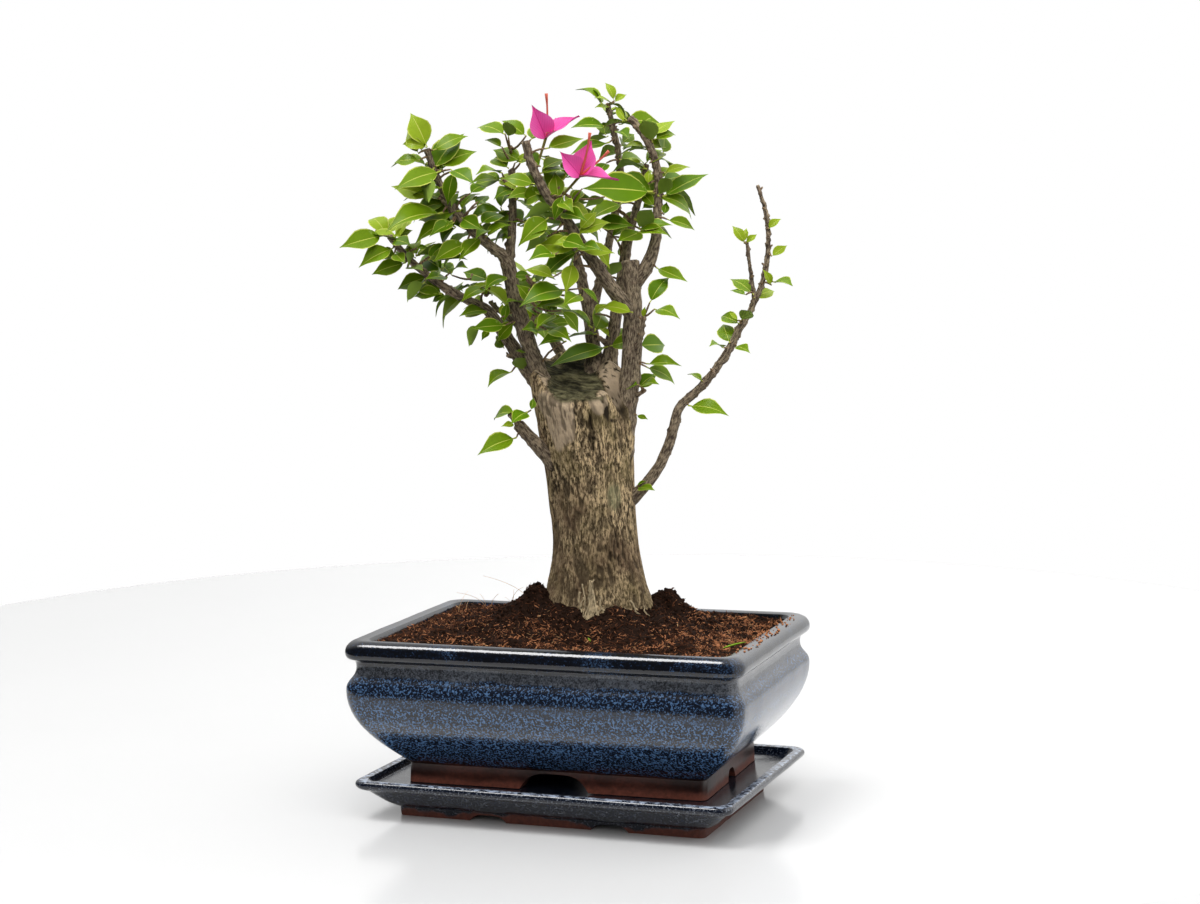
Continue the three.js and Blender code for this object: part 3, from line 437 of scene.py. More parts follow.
def grid_faces(index):
    """Faces of four corners between neighbours in a grid of point numbers."""
    corners = [index[:-1, :-1], index[:-1, 1:], index[1:, 1:], index[1:, :-1]]
    return np.stack(corners, -1).reshape(-1, 4)


def ring_faces(levels, count):
    """Faces of a closed skin through rings, with a fan to a middle point across each end."""
    index = np.arange(levels * count).reshape(levels, count)
    index = np.column_stack([index, index[:, 0]])
    foot, tip = np.full(count, levels * count), np.full(count, levels * count + 1)
    fans = [
        np.stack([foot, index[0, 1:], index[0, :-1]], -1),
        np.stack([tip, index[-1, :-1], index[-1, 1:]], -1),
    ]
    return grid_faces(index), np.concatenate(fans)


def bent(start, pull, end, share):
    """Points of a curve from start to end that is drawn towards a pull."""
    return start * (1 - share) ** 2 + pull * 2 * share * (1 - share) + end * share ** 2


class Shape:
    """Points and faces in millimetres, gathered until they become one mesh."""

    def __init__(self, crease=None):
        self.points = []
        self.faces = []
        self.marks = {}
        self.uvs = []
        self.count = 0
        self.crease = crease

    def add(self, points, blocks, marks=None, uvs=None):
        """Add points, and blocks of faces as pairs of index rows and material number."""
        points = np.asarray(points, float).reshape(-1, 3)
        for rows, kind in blocks:
            self.faces.append((np.asarray(rows, np.int64) + self.count, kind))
        for name, values in (marks or {}).items():
            self.marks.setdefault(name, []).append(np.asarray(values, float).ravel())
        if uvs is not None:
            self.uvs.append(np.asarray(uvs, float).reshape(-1, 2))
        self.points.append(points)
        self.count += len(points)

    def mesh(self, name):
        points = np.concatenate(self.points) * MM
        loops = np.concatenate([rows.ravel() for rows, _ in self.faces])
        sizes = np.concatenate([np.full(len(rows), rows.shape[1]) for rows, _ in self.faces])
        kinds = np.concatenate([np.full(len(rows), kind) for rows, kind in self.faces])
        mesh = bpy.data.meshes.new(name)
        mesh.vertices.add(len(points))
        mesh.vertices.foreach_set("co", points.ravel())
        mesh.loops.add(len(loops))
        mesh.loops.foreach_set("vertex_index", loops)
        mesh.polygons.add(len(sizes))
        mesh.polygons.foreach_set("loop_start", np.cumsum(sizes) - sizes)
        mesh.polygons.foreach_set("material_index", kinds)
        for mark, values in self.marks.items():
            layer = mesh.attributes.new(mark, "FLOAT", "POINT")
            layer.data.foreach_set("value", np.concatenate(values).astype(np.float32))
        if self.uvs:
            layer = mesh.uv_layers.new(name="UVMap")
            layer.data.foreach_set("uv", np.concatenate(self.uvs)[loops].astype(np.float32).ravel())
        mesh.update(calc_edges=True)
        mesh.validate()
        mesh.shade_smooth()
        if self.crease:
            mesh.set_sharp_from_angle(angle=self.crease)
        return mesh


def add_object(name, data):
    obj = bpy.data.objects.new(name, data)
    bpy.context.scene.collection.objects.link(obj)
    return obj


def place(name, shape, materials, nodes=()):
    """Make an object of a shape or a mesh, give it its finish and let it ride on the part."""
    obj = add_object(name, shape.mesh(name) if isinstance(shape, Shape) else shape)
    if obj.data.materials:
        obj.data.materials.clear()
    for material in materials:
        obj.data.materials.append(material)
    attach(obj, BODY)
    if nodes:
        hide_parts(*nodes)


class Nodes:
    """Makes the nodes of one tree, each joined to what feeds it."""

    def __init__(self, tree):
        self.tree = tree

    def node(self, kind, inputs=None, **settings):
        made = self.tree.nodes.new(kind)
        for name, value in settings.items():
            setattr(made, name, value)
        for key, value in (inputs or {}).items():
            self.feed(made.inputs[key], value)
        return made

    def feed(self, socket, value):
        """Join a socket to an output, or set it to a plain value."""
        if isinstance(value, bpy.types.NodeSocket):
            self.tree.links.new(value, socket)
        elif socket.type == "RGBA" and len(value) == 3:
            socket.default_value = (*value, 1)
        else:
            socket.default_value = value


class Finish(Nodes):
    """One material in the making: its surface shader and the nodes that feed it."""

    def __init__(self, name, roughness=0.5, specular=0.5):
        self.material = bpy.data.materials.new(name)
        self.material.use_nodes = True
        super().__init__(self.material.node_tree)
        self.surface = self.tree.nodes["Principled BSDF"]
        self.set(Roughness=roughness, Specular_IOR_Level=specular)
        self.spot = self.node("ShaderNodeTexCoord").outputs["Object"]

    def set(self, **inputs):
        for key, value in inputs.items():
            self.feed(self.surface.inputs[key.replace("_", " ")], value)
        return self.material

    def stretched(self, scale, vector=None):
        inputs = {"Vector": vector or self.spot, "Scale": scale}
        return self.node("ShaderNodeMapping", inputs).outputs["Vector"]

    def noise(self, scale, detail=3, roughness=0.55, vector=None, distortion=0):
        inputs = {
            "Vector": vector or self.spot, "Scale": scale, "Detail": detail,
            "Roughness": roughness, "Distortion": distortion,
        }
        return self.node("ShaderNodeTexNoise", inputs).outputs["Fac"]

    def ramp(self, value, *stops):
        """A colour, or a grey share, that runs through stops of position and value."""
        made = self.node("ShaderNodeValToRGB", {"Fac": value})
        band = made.color_ramp
        while len(band.elements) < len(stops):
            band.elements.new(0.5)
        for element, (at, colour) in zip(band.elements, stops):
            element.position = at
            element.color = (*colour, 1) if hasattr(colour, "__len__") else (colour, colour, colour, 1)
        return made.outputs["Color"]

    def mix(self, share, first, second):
        return self.node("ShaderNodeMix", {0: share, 6: first, 7: second}, data_type="RGBA").outputs[2]

    def work(self, operation, first, second=0.0):
        return self.node("ShaderNodeMath", {0: first, 1: second}, operation=operation).outputs[0]

    def times(self, first, second):
        return self.work("MULTIPLY", first, second)

    def plus(self, first, second):
        return self.work("ADD", first, second)

    def swing(self, value, reach):
        """A value about a half, as a swing to both sides of nought."""
        return self.times(self.work("SUBTRACT", value, 0.5), reach)

    def mark(self, name):
        return self.node("ShaderNodeAttribute", attribute_name=name).outputs["Fac"]

    def height(self):
        return self.node("ShaderNodeSeparateXYZ", {"Vector": self.spot}).outputs["Z"]

    def span(self, value, low, high):
        inputs = {"Value": value, "From Min": low, "From Max": high}
        made = self.node("ShaderNodeMapRange", inputs, interpolation_type="SMOOTHSTEP")
        return made.outputs["Result"]

    def bump(self, height, strength, distance, under=None):
        inputs = {"Height": height, "Strength": strength, "Distance": distance * MM}
        if under is not None:
            inputs["Normal"] = under
        return self.node("ShaderNodeBump", inputs).outputs["Normal"]


def shade(colour, share):
    """A colour made darker or lighter by a share."""
    return [min(1, share * c) for c in colour]


def tint(name, description, default):
    return FloatVectorProperty(
        name=name, description=description, subtype="COLOR", size=3, min=0, max=1, default=default)


def measure(name, description, default):
    return FloatProperty(name=name, description=description, unit="LENGTH", precision=4, default=default)


def share_of(name, description, default):
    return FloatProperty(name=name, description=description, subtype="FACTOR", default=default)


def count_of(name, description, default):
    return IntProperty(name=name, description=description, default=default)


class PotLooks(bpy.types.PropertyGroup):
    width: measure("Rim width", "Width of the pot at its rim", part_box("pot")[1].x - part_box("pot")[0].x)
    depth: measure("Rim depth", "Depth of the pot at its rim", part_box("pot")[1].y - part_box("pot")[0].y)
    saucer_width: measure("Saucer width", "Width of the saucer at its edge", 0.240)
    saucer_depth: measure("Saucer depth", "Depth of the saucer at its edge", 0.172)
    wobble: measure("Wobble", "How far the hand-made walls stray from true", 0.0004)
    deep: tint("Deep glaze", "Blue in the body of the glaze", (0.007, 0.015, 0.036))
    bright: tint("Bright glaze", "Blue of the fine flecks", (0.06, 0.12, 0.23))
    black: tint("Dark glaze", "Blue-black where the glaze lies thick", (0.003, 0.005, 0.012))
    grey: tint("Thin glaze", "Grey where the glaze runs thin at the neck", (0.09, 0.1, 0.12))
    clay: tint("Clay", "Bare fired clay of the feet", (0.2, 0.06, 0.038))


class SoilLooks(bpy.types.PropertyGroup):
    ground: tint("Ground", "Peat between the shreds", (0.013, 0.006, 0.0035))
    dark: tint("Dark shreds", "Damp shreds of fibre", (0.078, 0.03, 0.015))
    red: tint("Red shreds", "Dry shreds of fibre", (0.43, 0.18, 0.083))
    grass: tint("Grass", "Green blades on the soil", (0.2, 0.34, 0.03))
    pale: tint("Pale hairs", "Long loose hairs of fibre", (0.5, 0.29, 0.14))
    dark_count: count_of("Dark shreds", "Shreds for each square metre", 340000)
    red_count: count_of("Red shreds", "Shreds for each square metre", 380000)
    tan_count: count_of("Tan shreds", "Shreds for each square metre", 50000)
    crumb_count: count_of("Crumbs", "Crumbs for each square metre", 110000)
    seed: count_of("Seed", "Seed of the scatter", 5)


class BarkLooks(bpy.types.PropertyGroup):
    relief: measure("Trunk relief", "Depth of the furrows in the trunk", 0.0013)
    khaki: tint("Ridges", "Dry ridges of the trunk's bark", (0.37, 0.275, 0.157))
    furrow: tint("Furrows", "Dark furrows of the trunk's bark", (0.06, 0.042, 0.024))
    olive: tint("Olive patches", "Mossy tint on the trunk's bark", (0.16, 0.125, 0.05))
    brown: tint("Brown patches", "Reddish brown tint on the trunk's bark", (0.15, 0.092, 0.056))
    plate: tint("Plates", "Smooth worn plates near the top", (0.57, 0.44, 0.305))
    lichen: tint("Lichen", "Pale lichen on the trunk", (0.36, 0.35, 0.19))
    moss: tint("Sawn face", "Weathered sawn wood on top", (0.085, 0.077, 0.04))
    root: tint("Roots", "Fine pale roots at the foot", (0.42, 0.33, 0.2))
    bough: tint("Bough bark", "Grey-brown bark of the boughs", (0.25, 0.197, 0.132))
    bough_dark: tint("Bough cracks", "Dark cracks in the boughs' bark", (0.05, 0.033, 0.026))
    scar: tint("Leaf scars", "Pale warts where leaves have fallen", (0.36, 0.25, 0.17))
    spur: tint("Spurs", "Young wood of the short spurs", (0.2, 0.13, 0.06))


class LeafLooks(bpy.types.PropertyGroup):
    width: share_of("Width", "Width of a leaf as a share of its length", 0.55)
    stalk: share_of("Stalk", "Share of a leaf's length that is its stalk", 0.08)
    thickness: share_of("Thickness", "Thickness of a leaf as a share of its length", 0.016)
    extra: count_of("Small leaves", "Small leaves added at each spur", 2)
    dark: tint("Dark leaf", "Upper face of older leaves", (0.097, 0.194, 0.003))
    mid: tint("Mid leaf", "Upper face of most leaves", (0.138, 0.235, 0.004))
    young: tint("Young leaf", "Upper face of leaves near the tips", (0.24, 0.34, 0.012))
    edge: tint("Edge", "Thin pale edge and rib of a leaf", (0.44, 0.49, 0.08))
    under: tint("Underside", "Paler lower face of a leaf", (0.2, 0.3, 0.04))
    seed: count_of("Seed", "Seed of the leaves' bends and colours", 3)


class BloomLooks(bpy.types.PropertyGroup):
    bract: tint("Bract", "Papery magenta of the bracts", (0.83, 0.06, 0.36))
    pale: tint("Pale bract", "Paler magenta towards the edges", (0.88, 0.16, 0.5))
    vein: tint("Vein", "Darker veins of the bracts", (0.55, 0.02, 0.17))
    tube: tint("Flower tube", "Coral of the flower tubes", (0.62, 0.13, 0.085))
    tube_girth: measure("Tube girth", "Thickness of a flower tube", 0.0022)


class StageLooks(bpy.types.PropertyGroup):
    floor: tint("Floor", "Pale floor under the saucer", (0.63, 0.63, 0.63))
    backdrop: tint("Backdrop", "Pale backdrop behind the plant", (1.0, 1.0, 1.0))
    floor_radius: measure("Floor radius", "Radius of the round floor", 0.7)
    floor_front: measure("Floor front", "How far the floor reaches towards the viewer", 0.3)
    key: FloatProperty(name="Key light", description="Strength of the soft key light", default=1.2)
    fill: FloatProperty(name="Fill light", description="Strength of the soft fill light", default=1.08)


def around(width, depth, corner, z, steps=8, runs=18):
    """Points round a rectangle with round corners, at one level."""
    half = np.array([width / 2 - corner, depth / 2 - corner])
    turn = np.linspace(0, math.pi / 2, steps + 1)
    points = []
    for number, (sx, sy) in enumerate([(1, 1), (-1, 1), (-1, -1), (1, -1)]):
        turns = turn + number * math.pi / 2
        arc = np.array([sx, sy]) * half + corner * np.stack([np.cos(turns), np.sin(turns)], -1)
        points.append(arc)
    closed = points + [points[0]]
    out = []
    for arc, following in zip(closed[:-1], closed[1:]):
        out.append(arc)
        share = np.linspace(0, 1, runs + 1)[1:-1, None]
        out.append(arc[-1] * (1 - share) + following[0] * share)
    flat = np.concatenate(out)
    return np.column_stack([flat, np.full(len(flat), z)])


def curve(start, pulls, steps):
    """Points of a cubic curve after its start."""
    a, (b, c, d) = np.array(start), np.array(pulls)
    t = np.linspace(0, 1, steps + 1)[1:, None]
    return (1 - t) ** 3 * a + 3 * t * (1 - t) ** 2 * b + 3 * t * t * (1 - t) * c + t ** 3 * d


def profile(vessel):
    """The whole outline of a vessel, from its foot over its lip to the floor inside."""
    points = [np.linspace(*vessel.foot, 4)]
    for pulls in vessel.curves:
        points.append(curve(points[-1][-1], pulls, vessel.steps))
    return np.concatenate([*points, vessel.inside])


def vessel_shape(vessel, width, depth, wobble):
    """A closed skin that follows an outline all round a rounded rectangle, slightly uneven."""
    outline = profile(vessel)
    rings = []
    for inset, z in outline:
        radius = max(vessel.corner - inset * CORNER_EASE, CORNER_LEAST)
        rings.append(around(width - 2 * inset, depth - 2 * inset, radius, z))
    grid = np.array(rings)
    shift = lumps(grid, 34, vessel.seed) * wobble + lumps(grid, 11, vessel.seed + 1) * wobble * 0.4
    outward = unit(grid * (1, 1, 0) + 1e-9)
    calm = smoothstep(outline[0][1] + 1, outline[0][1] + 6, grid[..., 2])
    shape = Shape()
    add_tube(shape, grid + outward * (shift * calm)[..., None])
    return shape


def arch_cutter(width, height, z, turn, shift):
    """A bar with an arched top that cuts a notch through a foot ring."""
    span = np.linspace(-1, 1, 17)
    top = height * (1 - np.abs(span) ** 4)
    corners = [[width / 2, -height], [-width / 2, -height]]
    section = np.vstack([np.column_stack([span * width / 2, top]), corners])
    count = len(section)
    ends = []
    for y in (-NOTCH_LENGTH / 2, NOTCH_LENGTH / 2):
        ends.append(np.column_stack([section[:, 0] + shift, np.full(count, y), section[:, 1] + z]))
    points = np.vstack(ends)
    spin = np.array([[math.cos(turn), -math.sin(turn)], [math.sin(turn), math.cos(turn)]])
    points[:, :2] = points[:, :2] @ spin.T
    here = np.arange(count)
    walls, _ = ring_faces(2, count)
    shape = Shape()
    shape.add(points, [(walls, 0), (here[None, ::-1], 0), (here[None, :] + count, 0)])
    return shape


def hollow(half_width, half_depth, height, z):
    """A plain block that opens the middle of a foot ring from below."""
    low = around(2 * half_width, 2 * half_depth, CORNER_LEAST, z - height, 3, 2)
    shape = Shape()
    add_tube(shape, np.stack([low, low + UP * 2 * height]))
    return shape


def evaluated_mesh(obj, name):
    """A new mesh of what an object's modifiers make of it."""
    graph = bpy.context.evaluated_depsgraph_get()
    mesh = bpy.data.meshes.new_from_object(obj.evaluated_get(graph))
    mesh.name = name
    mesh.shade_smooth()
    return mesh


def carve(shape, cutters, name):
    """The mesh of a shape with every cutter taken out of it."""
    body = add_object(name, shape.mesh(name))
    tools = [add_object("cutter", cutter.mesh("cutter")) for cutter in cutters]
    for tool in tools:
        step = body.modifiers.new("notch", "BOOLEAN")
        step.operation = "DIFFERENCE"
        step.solver = "EXACT"
        step.object = tool
    mesh = evaluated_mesh(body, name)
    for obj in [body, *tools]:
        bpy.data.objects.remove(obj)
    mesh.set_sharp_from_angle(angle=CARVED_CREASE)
    return mesh


def vessel_mesh(name, vessel, width, depth, wobble):
    """The mesh of a vessel of a width and depth, with its foot hollowed and notched."""
    inset, low = vessel.foot[0]
    edge = inset + FOOT_WALL
    cutters = [hollow(width / 2 - edge, depth / 2 - edge, vessel.hollow, low)]
    for span, rise, turn, shift in vessel.notches:
        cutters.append(arch_cutter(span, rise, low, turn, shift))
    return carve(vessel_shape(vessel, width, depth, wobble), cutters, name)


def glaze_flecks(finish):
    """A share that runs from black pools to fine bright flecks in a glaze."""
    flecks = finish.times(finish.noise(980, 3, 0.7), 0.62)
    pools = finish.times(finish.noise(380, 3, 0.6, distortion=0.6), 0.38)
    return finish.plus(finish.plus(flecks, pools), finish.swing(finish.noise(26, 2), 0.18))


def pot_glaze(looks):
    """Mottled blue glaze: black at the lip, grey in the cove, bare clay at the foot."""
    finish = Finish("pot_glaze", specular=0.7)
    balance = glaze_flecks(finish)
    level = finish.plus(finish.height(), finish.swing(finish.noise(60, 4, 0.6), 0.006))
    network = finish.noise(820, 2, 0.6, distortion=0.5)
    rich = finish.ramp(network, (0.5, looks.black), (0.54, looks.deep), (0.6, looks.bright))
    speckle = finish.noise(800, 2, 0.6)
    vivid = shade(looks.bright, 1.45)
    fine = finish.ramp(speckle, (0.48, looks.black), (0.52, looks.deep), (0.58, vivid))
    soft = shade(looks.bright, 0.9)
    black = finish.ramp(balance, (0.52, shade(looks.black, 0.3)), (0.6, looks.deep), (0.68, soft))
    black = finish.mix(finish.ramp(finish.noise(26, 2), (0.54, 0.0), (0.6, 0.35)), black, rich)
    grey = finish.ramp(balance, (0.42, shade(looks.grey, 0.2)), (0.58, looks.grey))
    colour = finish.mix(finish.span(level, *RICH_FROM), fine, rich)
    colour = finish.mix(finish.span(level, *NECK_FROM), colour, grey)
    is_lip = finish.span(level, *LIP_FROM)
    colour = finish.mix(is_lip, colour, black)
    grain = finish.noise(420, 5, 0.65)
    clay = finish.ramp(grain, (0.3, shade(looks.clay, 0.45)), (0.7, looks.clay))
    stained = finish.ramp(grain, (0.3, shade(looks.clay, 0.04)), (0.75, shade(looks.clay, 0.16)))
    blotch = finish.ramp(finish.noise(24, 2), (0.45, 1.0), (0.65, 0.6))
    clay = finish.mix(finish.times(finish.span(level, *STAIN_FROM), blotch), clay, stained)
    is_glazed = finish.span(level, *GLAZE_FROM)
    colour = finish.mix(is_glazed, clay, colour)
    mottled = finish.ramp(balance, (0.42, 0.05), (0.56, 0.14))
    gloss = finish.mix(is_lip, mottled, (0.06, 0.06, 0.06))
    stain_gloss = finish.ramp(finish.span(level, *STAIN_GLOSS_FROM), (0, 0.7), (1, 0.32))
    rough = finish.mix(is_glazed, stain_gloss, gloss)
    ripple = finish.bump(finish.noise(45, 2), 0.12, 1.2)
    peel = finish.bump(speckle, 0.25, 0.3, ripple)
    return finish.set(Base_Color=colour, Roughness=rough, Normal=peel)


def saucer_glaze(looks):
    """Blue-black glaze with fine flecks; on the lip pale flecks, part thin glaze and part painted sparkle
    highlights; worn to clay at the foot.
    """
    finish = Finish("saucer_glaze", specular=0.6)
    balance = glaze_flecks(finish)
    level = finish.plus(finish.height(), finish.swing(finish.noise(40, 3, 0.6), 0.016))
    stops = [(0.52, looks.black), (0.56, shade(looks.deep, 0.5)), (0.62, shade(looks.grey, 1.3))]
    sparks = finish.ramp(finish.noise(900, 2, 0.6), *stops)
    dark = finish.mix(finish.ramp(balance, (0.42, 0.0), (0.52, 1.0)), looks.black, sparks)
    # Pale flecks along the lip: partly thin glaze, partly painted sparkle highlights.
    thin = finish.times(finish.span(finish.height(), *DISH_LIP_FROM), finish.noise(300, 3))
    pale = [c + 0.3 for c in looks.bright]
    dark = finish.mix(finish.ramp(thin, (0.4, 0.0), (0.58, 0.8)), dark, pale)
    grain = finish.noise(420, 5, 0.65)
    clay = finish.ramp(grain, (0.3, shade(looks.clay, 0.3)), (0.7, shade(looks.clay, 0.7)))
    is_glazed = finish.span(level, *DISH_GLAZE_FROM)
    colour = finish.mix(is_glazed, clay, dark)
    rough = finish.ramp(is_glazed, (0, 0.75), (1, 0.1))
    peel = finish.bump(finish.noise(620, 4), 0.3, 0.4, finish.bump(finish.noise(60, 2), 0.15, 1))
    return finish.set(Base_Color=colour, Roughness=rough, Normal=peel)


class BONSAI_OT_pot(bpy.types.Operator):
    """Make the glazed pot and the saucer that it stands in"""

    bl_idname = "bonsai.pot"
    bl_label = "Pot and saucer"

    def execute(self, context):
        looks = context.scene.bonsai_pot
        wobble = looks.wobble / MM
        mesh = vessel_mesh("pot_body", POT, looks.width / MM, looks.depth / MM, wobble)
        place("pot_body", mesh, [pot_glaze(looks)], ["pot"])
        width, depth = looks.saucer_width / MM, looks.saucer_depth / MM
        mesh = vessel_mesh("saucer_dish", SAUCER, width, depth, wobble)
        mesh.transform(Matrix.Rotation(SAUCER_TURN, 4, "Z"))
        place("saucer_dish", mesh, [saucer_glaze(looks)], ["saucer"])
        return {"FINISHED"}


def trunk_axis(z):
    lean = TRUNK_LEAN * ((np.asarray(z, float) - GROUND_Z) / LEAN_SPAN) ** 2
    x = TRUNK_FOOT_AT[0] + lean * math.cos(VIEW_TURN)
    y = TRUNK_FOOT_AT[1] + lean * math.sin(VIEW_TURN)
    return np.stack(np.broadcast_arrays(x, y, z), -1)


def trunk_radius(turn, z):
    """The trunk's reach from its axis: flare, waist, shoulder, root ridges and flutes."""
    low = np.exp((GROUND_Z - z) / FLARE_FALL)
    swell = (SHOULDER_WIDTH - WAIST_WIDTH) * smoothstep(WAIST_Z, SHOULDER_Z, z)
    ridges = 0.09 * low * np.cos(5 * turn + 0.6)
    flutes = 0.03 * np.cos(3 * turn + z / 60) + 0.02 * np.cos(7 * turn - z / 35)
    return (WAIST_WIDTH + FLARE_WIDTH * low + swell) / 2 * (1 + ridges + flutes)


def sawn_height(points):
    """Height of the sloping sawn plane above a point in plan."""
    middle = trunk_axis(SAWN_MID_Z)
    return SAWN_MID_Z + math.tan(SAWN_SLOPE) * ((middle - points)[..., :2] @ FRONT[:2])


def shoulder_height(points):
    """How far bark stands above the sawn plane where boughs rise from the trunk's rim."""
    flat = (points - trunk_axis(SAWN_MID_Z))[..., :2]
    sideways, back = flat @ RIGHT[:2], -(flat @ FRONT[:2])
    total = 0 * sideways
    for at, behind, rise, breadth in SHOULDERS:
        total = total + rise * np.exp(-((sideways - at) ** 2 + (back - behind) ** 2) / breadth ** 2)
    return total


def angle_gap(first, second):
    return (first - second + math.pi) % (2 * math.pi) - math.pi


def spot_share(across_front, z, at, size):
    """How far out a point lies in an oval spot on the trunk's front: 0 in its middle, 1 at its edge."""
    return np.hypot((across_front - at[0]) / size[0], (z - at[1]) / size[1])


def bark_relief(turn, z, radius):
    """Scaly furrows, worn plates, a slot darkened with painted shade, rifts and an old scar, as height and
    as marks.
    """
    flat = polar(radius, turn, z)
    sway = 1.6 * lumps(flat * (1, 1, 0.5), 12, 9)
    grain = flat + np.stack([sway, -sway, 0 * sway], -1)
    breaks = lumps(grain * (1, 1, 0.5), 2.4, 7)
    scales = smoothstep(0.08, 0.45, lumps(grain * (1, 1, 0.22), 1.5, 2) + 0.5 * breaks)
    hair = smoothstep(0.1, 0.5, lumps(grain * (1, 1, 0.3), 1.0, 3) + 0.4 * breaks)
    broad = lumps(flat * (1, 1, 0.6), 14, 4)
    rough = 0.7 + 0.3 * lumps(flat, 17, 5)
    front = angle_gap(turn, TO_VIEWER) * radius
    nearest = np.minimum(*[spot_share(front, z, at, size) for at, size in PLATES])
    plate = smoothstep(0.0, 0.35, lumps(flat * (1, 1, 0.5), 9, 21) + 0.75 - nearest)
    slot_front = front + 1.5 * lumps(flat, 3, 13)
    slot = smoothstep(1.25, 0.75, spot_share(slot_front, z, SLOT_AT, SLOT_SIZE))
    torn = front + 1.3 * lumps(flat, 3, 23)
    torn_share = np.min([spot_share(torn, z, at, size) for at, size in RIFTS], axis=0)
    rifts = 0.6 * smoothstep(1.4, 0.4, torn_share)
    scar = spot_share(front, z, SCAR_AT, SCAR_SIZE)
    scar_lip = hump(scar - 1, 0.22)
    grown = front + 2 * lumps(flat, 5, 16)
    lichen = smoothstep(1.2, 0.6, spot_share(grown, z, LICHEN_AT, LICHEN_SIZE))
    cracks = np.clip(scales + 0.65 * hair, 0, 1) * rough * (1 - 0.25 * plate)
    relief = 0.9 * broad - 0.95 * cracks + 0.25 * plate - 1.8 * slot + 0.8 * scar_lip
    # The dark mark holds the bark's own dark cracks and rifts, a darker middle in the scar, and painted
    # shade in the slot.
    dark = np.clip(cracks + 0.8 * slot + rifts + 0.35 * smoothstep(0.9, 0.4, scar), 0, 1)
    return relief, {"hollow": dark, "plate": plate, "lichen": lichen}


def trunk_bark(looks):
    """Furrowed khaki bark with worn plates, and a weathered sawn top."""
    finish = Finish("trunk_bark", roughness=0.9, specular=0.2)
    long_grain = finish.stretched((1, 1, 0.34))
    streaks = finish.noise(820, 4, 0.68, long_grain)
    pale = shade(looks.khaki, 2.1)
    colour = finish.ramp(streaks, (0.42, looks.furrow), (0.49, looks.khaki), (0.58, pale))
    is_olive = finish.ramp(finish.noise(48, 3), (0.42, 0.0), (0.66, 0.7))
    is_brown = finish.ramp(finish.noise(36, 2), (0.46, 0.0), (0.68, 0.75))
    worn = finish.noise(300, 4, 0.65, long_grain)
    worn = finish.mix(worn, shade(looks.plate, 0.75), looks.plate)
    layers = [
        (is_olive, looks.olive), (is_brown, looks.brown),
        (finish.times(finish.mark("plate"), 0.8), worn),
        (finish.times(finish.mark("lichen"), 0.6), looks.lichen),
        # Dark cracks and rifts, with painted shade in the slot and down the cleft.
        (finish.mark("hollow"), shade(looks.furrow, 0.4)),
    ]
    for share, over in layers:
        colour = finish.mix(share, colour, over)
    # The bark is darker towards the foot of the trunk: darkest below 0.118 m, fading out by 0.235 m.
    dry = finish.span(finish.height(), 0.118, 0.235)
    colour = finish.mix(dry, finish.mix(0.42, colour, looks.furrow), colour)
    rings = finish.noise(190, 5, 0.68, finish.stretched((0.6, 1.5, 1)))
    stops = [(0.4, shade(looks.moss, 0.2)), (0.53, looks.moss), (0.66, shade(looks.moss, 2.4))]
    colour = finish.mix(finish.mark("sawn"), colour, finish.ramp(rings, *stops))
    relief = finish.bump(streaks, 0.6, 0.8)
    relief = finish.bump(finish.noise(1500, 4, 0.7), 0.45, 0.4, relief)
    return finish.set(Base_Color=colour, Normal=relief)


def trunk_side(relief):
    """The trunk's side with its relief, up to a ragged rim: its grid, marks, rim's rag and cleft."""
    turn = all_round(TRUNK_SIDES)
    circle = polar(1, turn, 0)
    rim = trunk_axis(SAWN_MID_Z) + circle * trunk_radius(turn, SAWN_MID_Z)[..., None]
    cleft = CLEFT_DEPTH * hump(angle_gap(turn, CLEFT_TURN), CLEFT_WIDTH)
    top = sawn_height(rim) + shoulder_height(rim) - cleft
    z = GROUND_Z + np.linspace(0, 1, TRUNK_LEVELS)[:, None] * (top - GROUND_Z)
    radius = trunk_radius(turn, z)
    bumps, marks = bark_relief(turn, z, radius)
    # Painted shade down the walls of the cleft near the rim, laid into the dark mark.
    cleft_shade = cleft / CLEFT_DEPTH * smoothstep(top - 12, top, z)
    marks["hollow"] = np.maximum(marks["hollow"], cleft_shade)
    facing = smoothstep(0.9, 0.3, np.abs(angle_gap(turn, TO_VIEWER)))
    marks["sawn"] = smoothstep(top - 3, top + 0.5, z) * facing
    lip = smoothstep(top - 6, top, z)
    ragged = 1.8 * lumps(20 * circle, 4, 6)
    radius = radius + bumps * relief - lip ** 2 * 2.2
    return trunk_axis(z) + polar(radius, turn, lip * ragged), marks, ragged, cleft


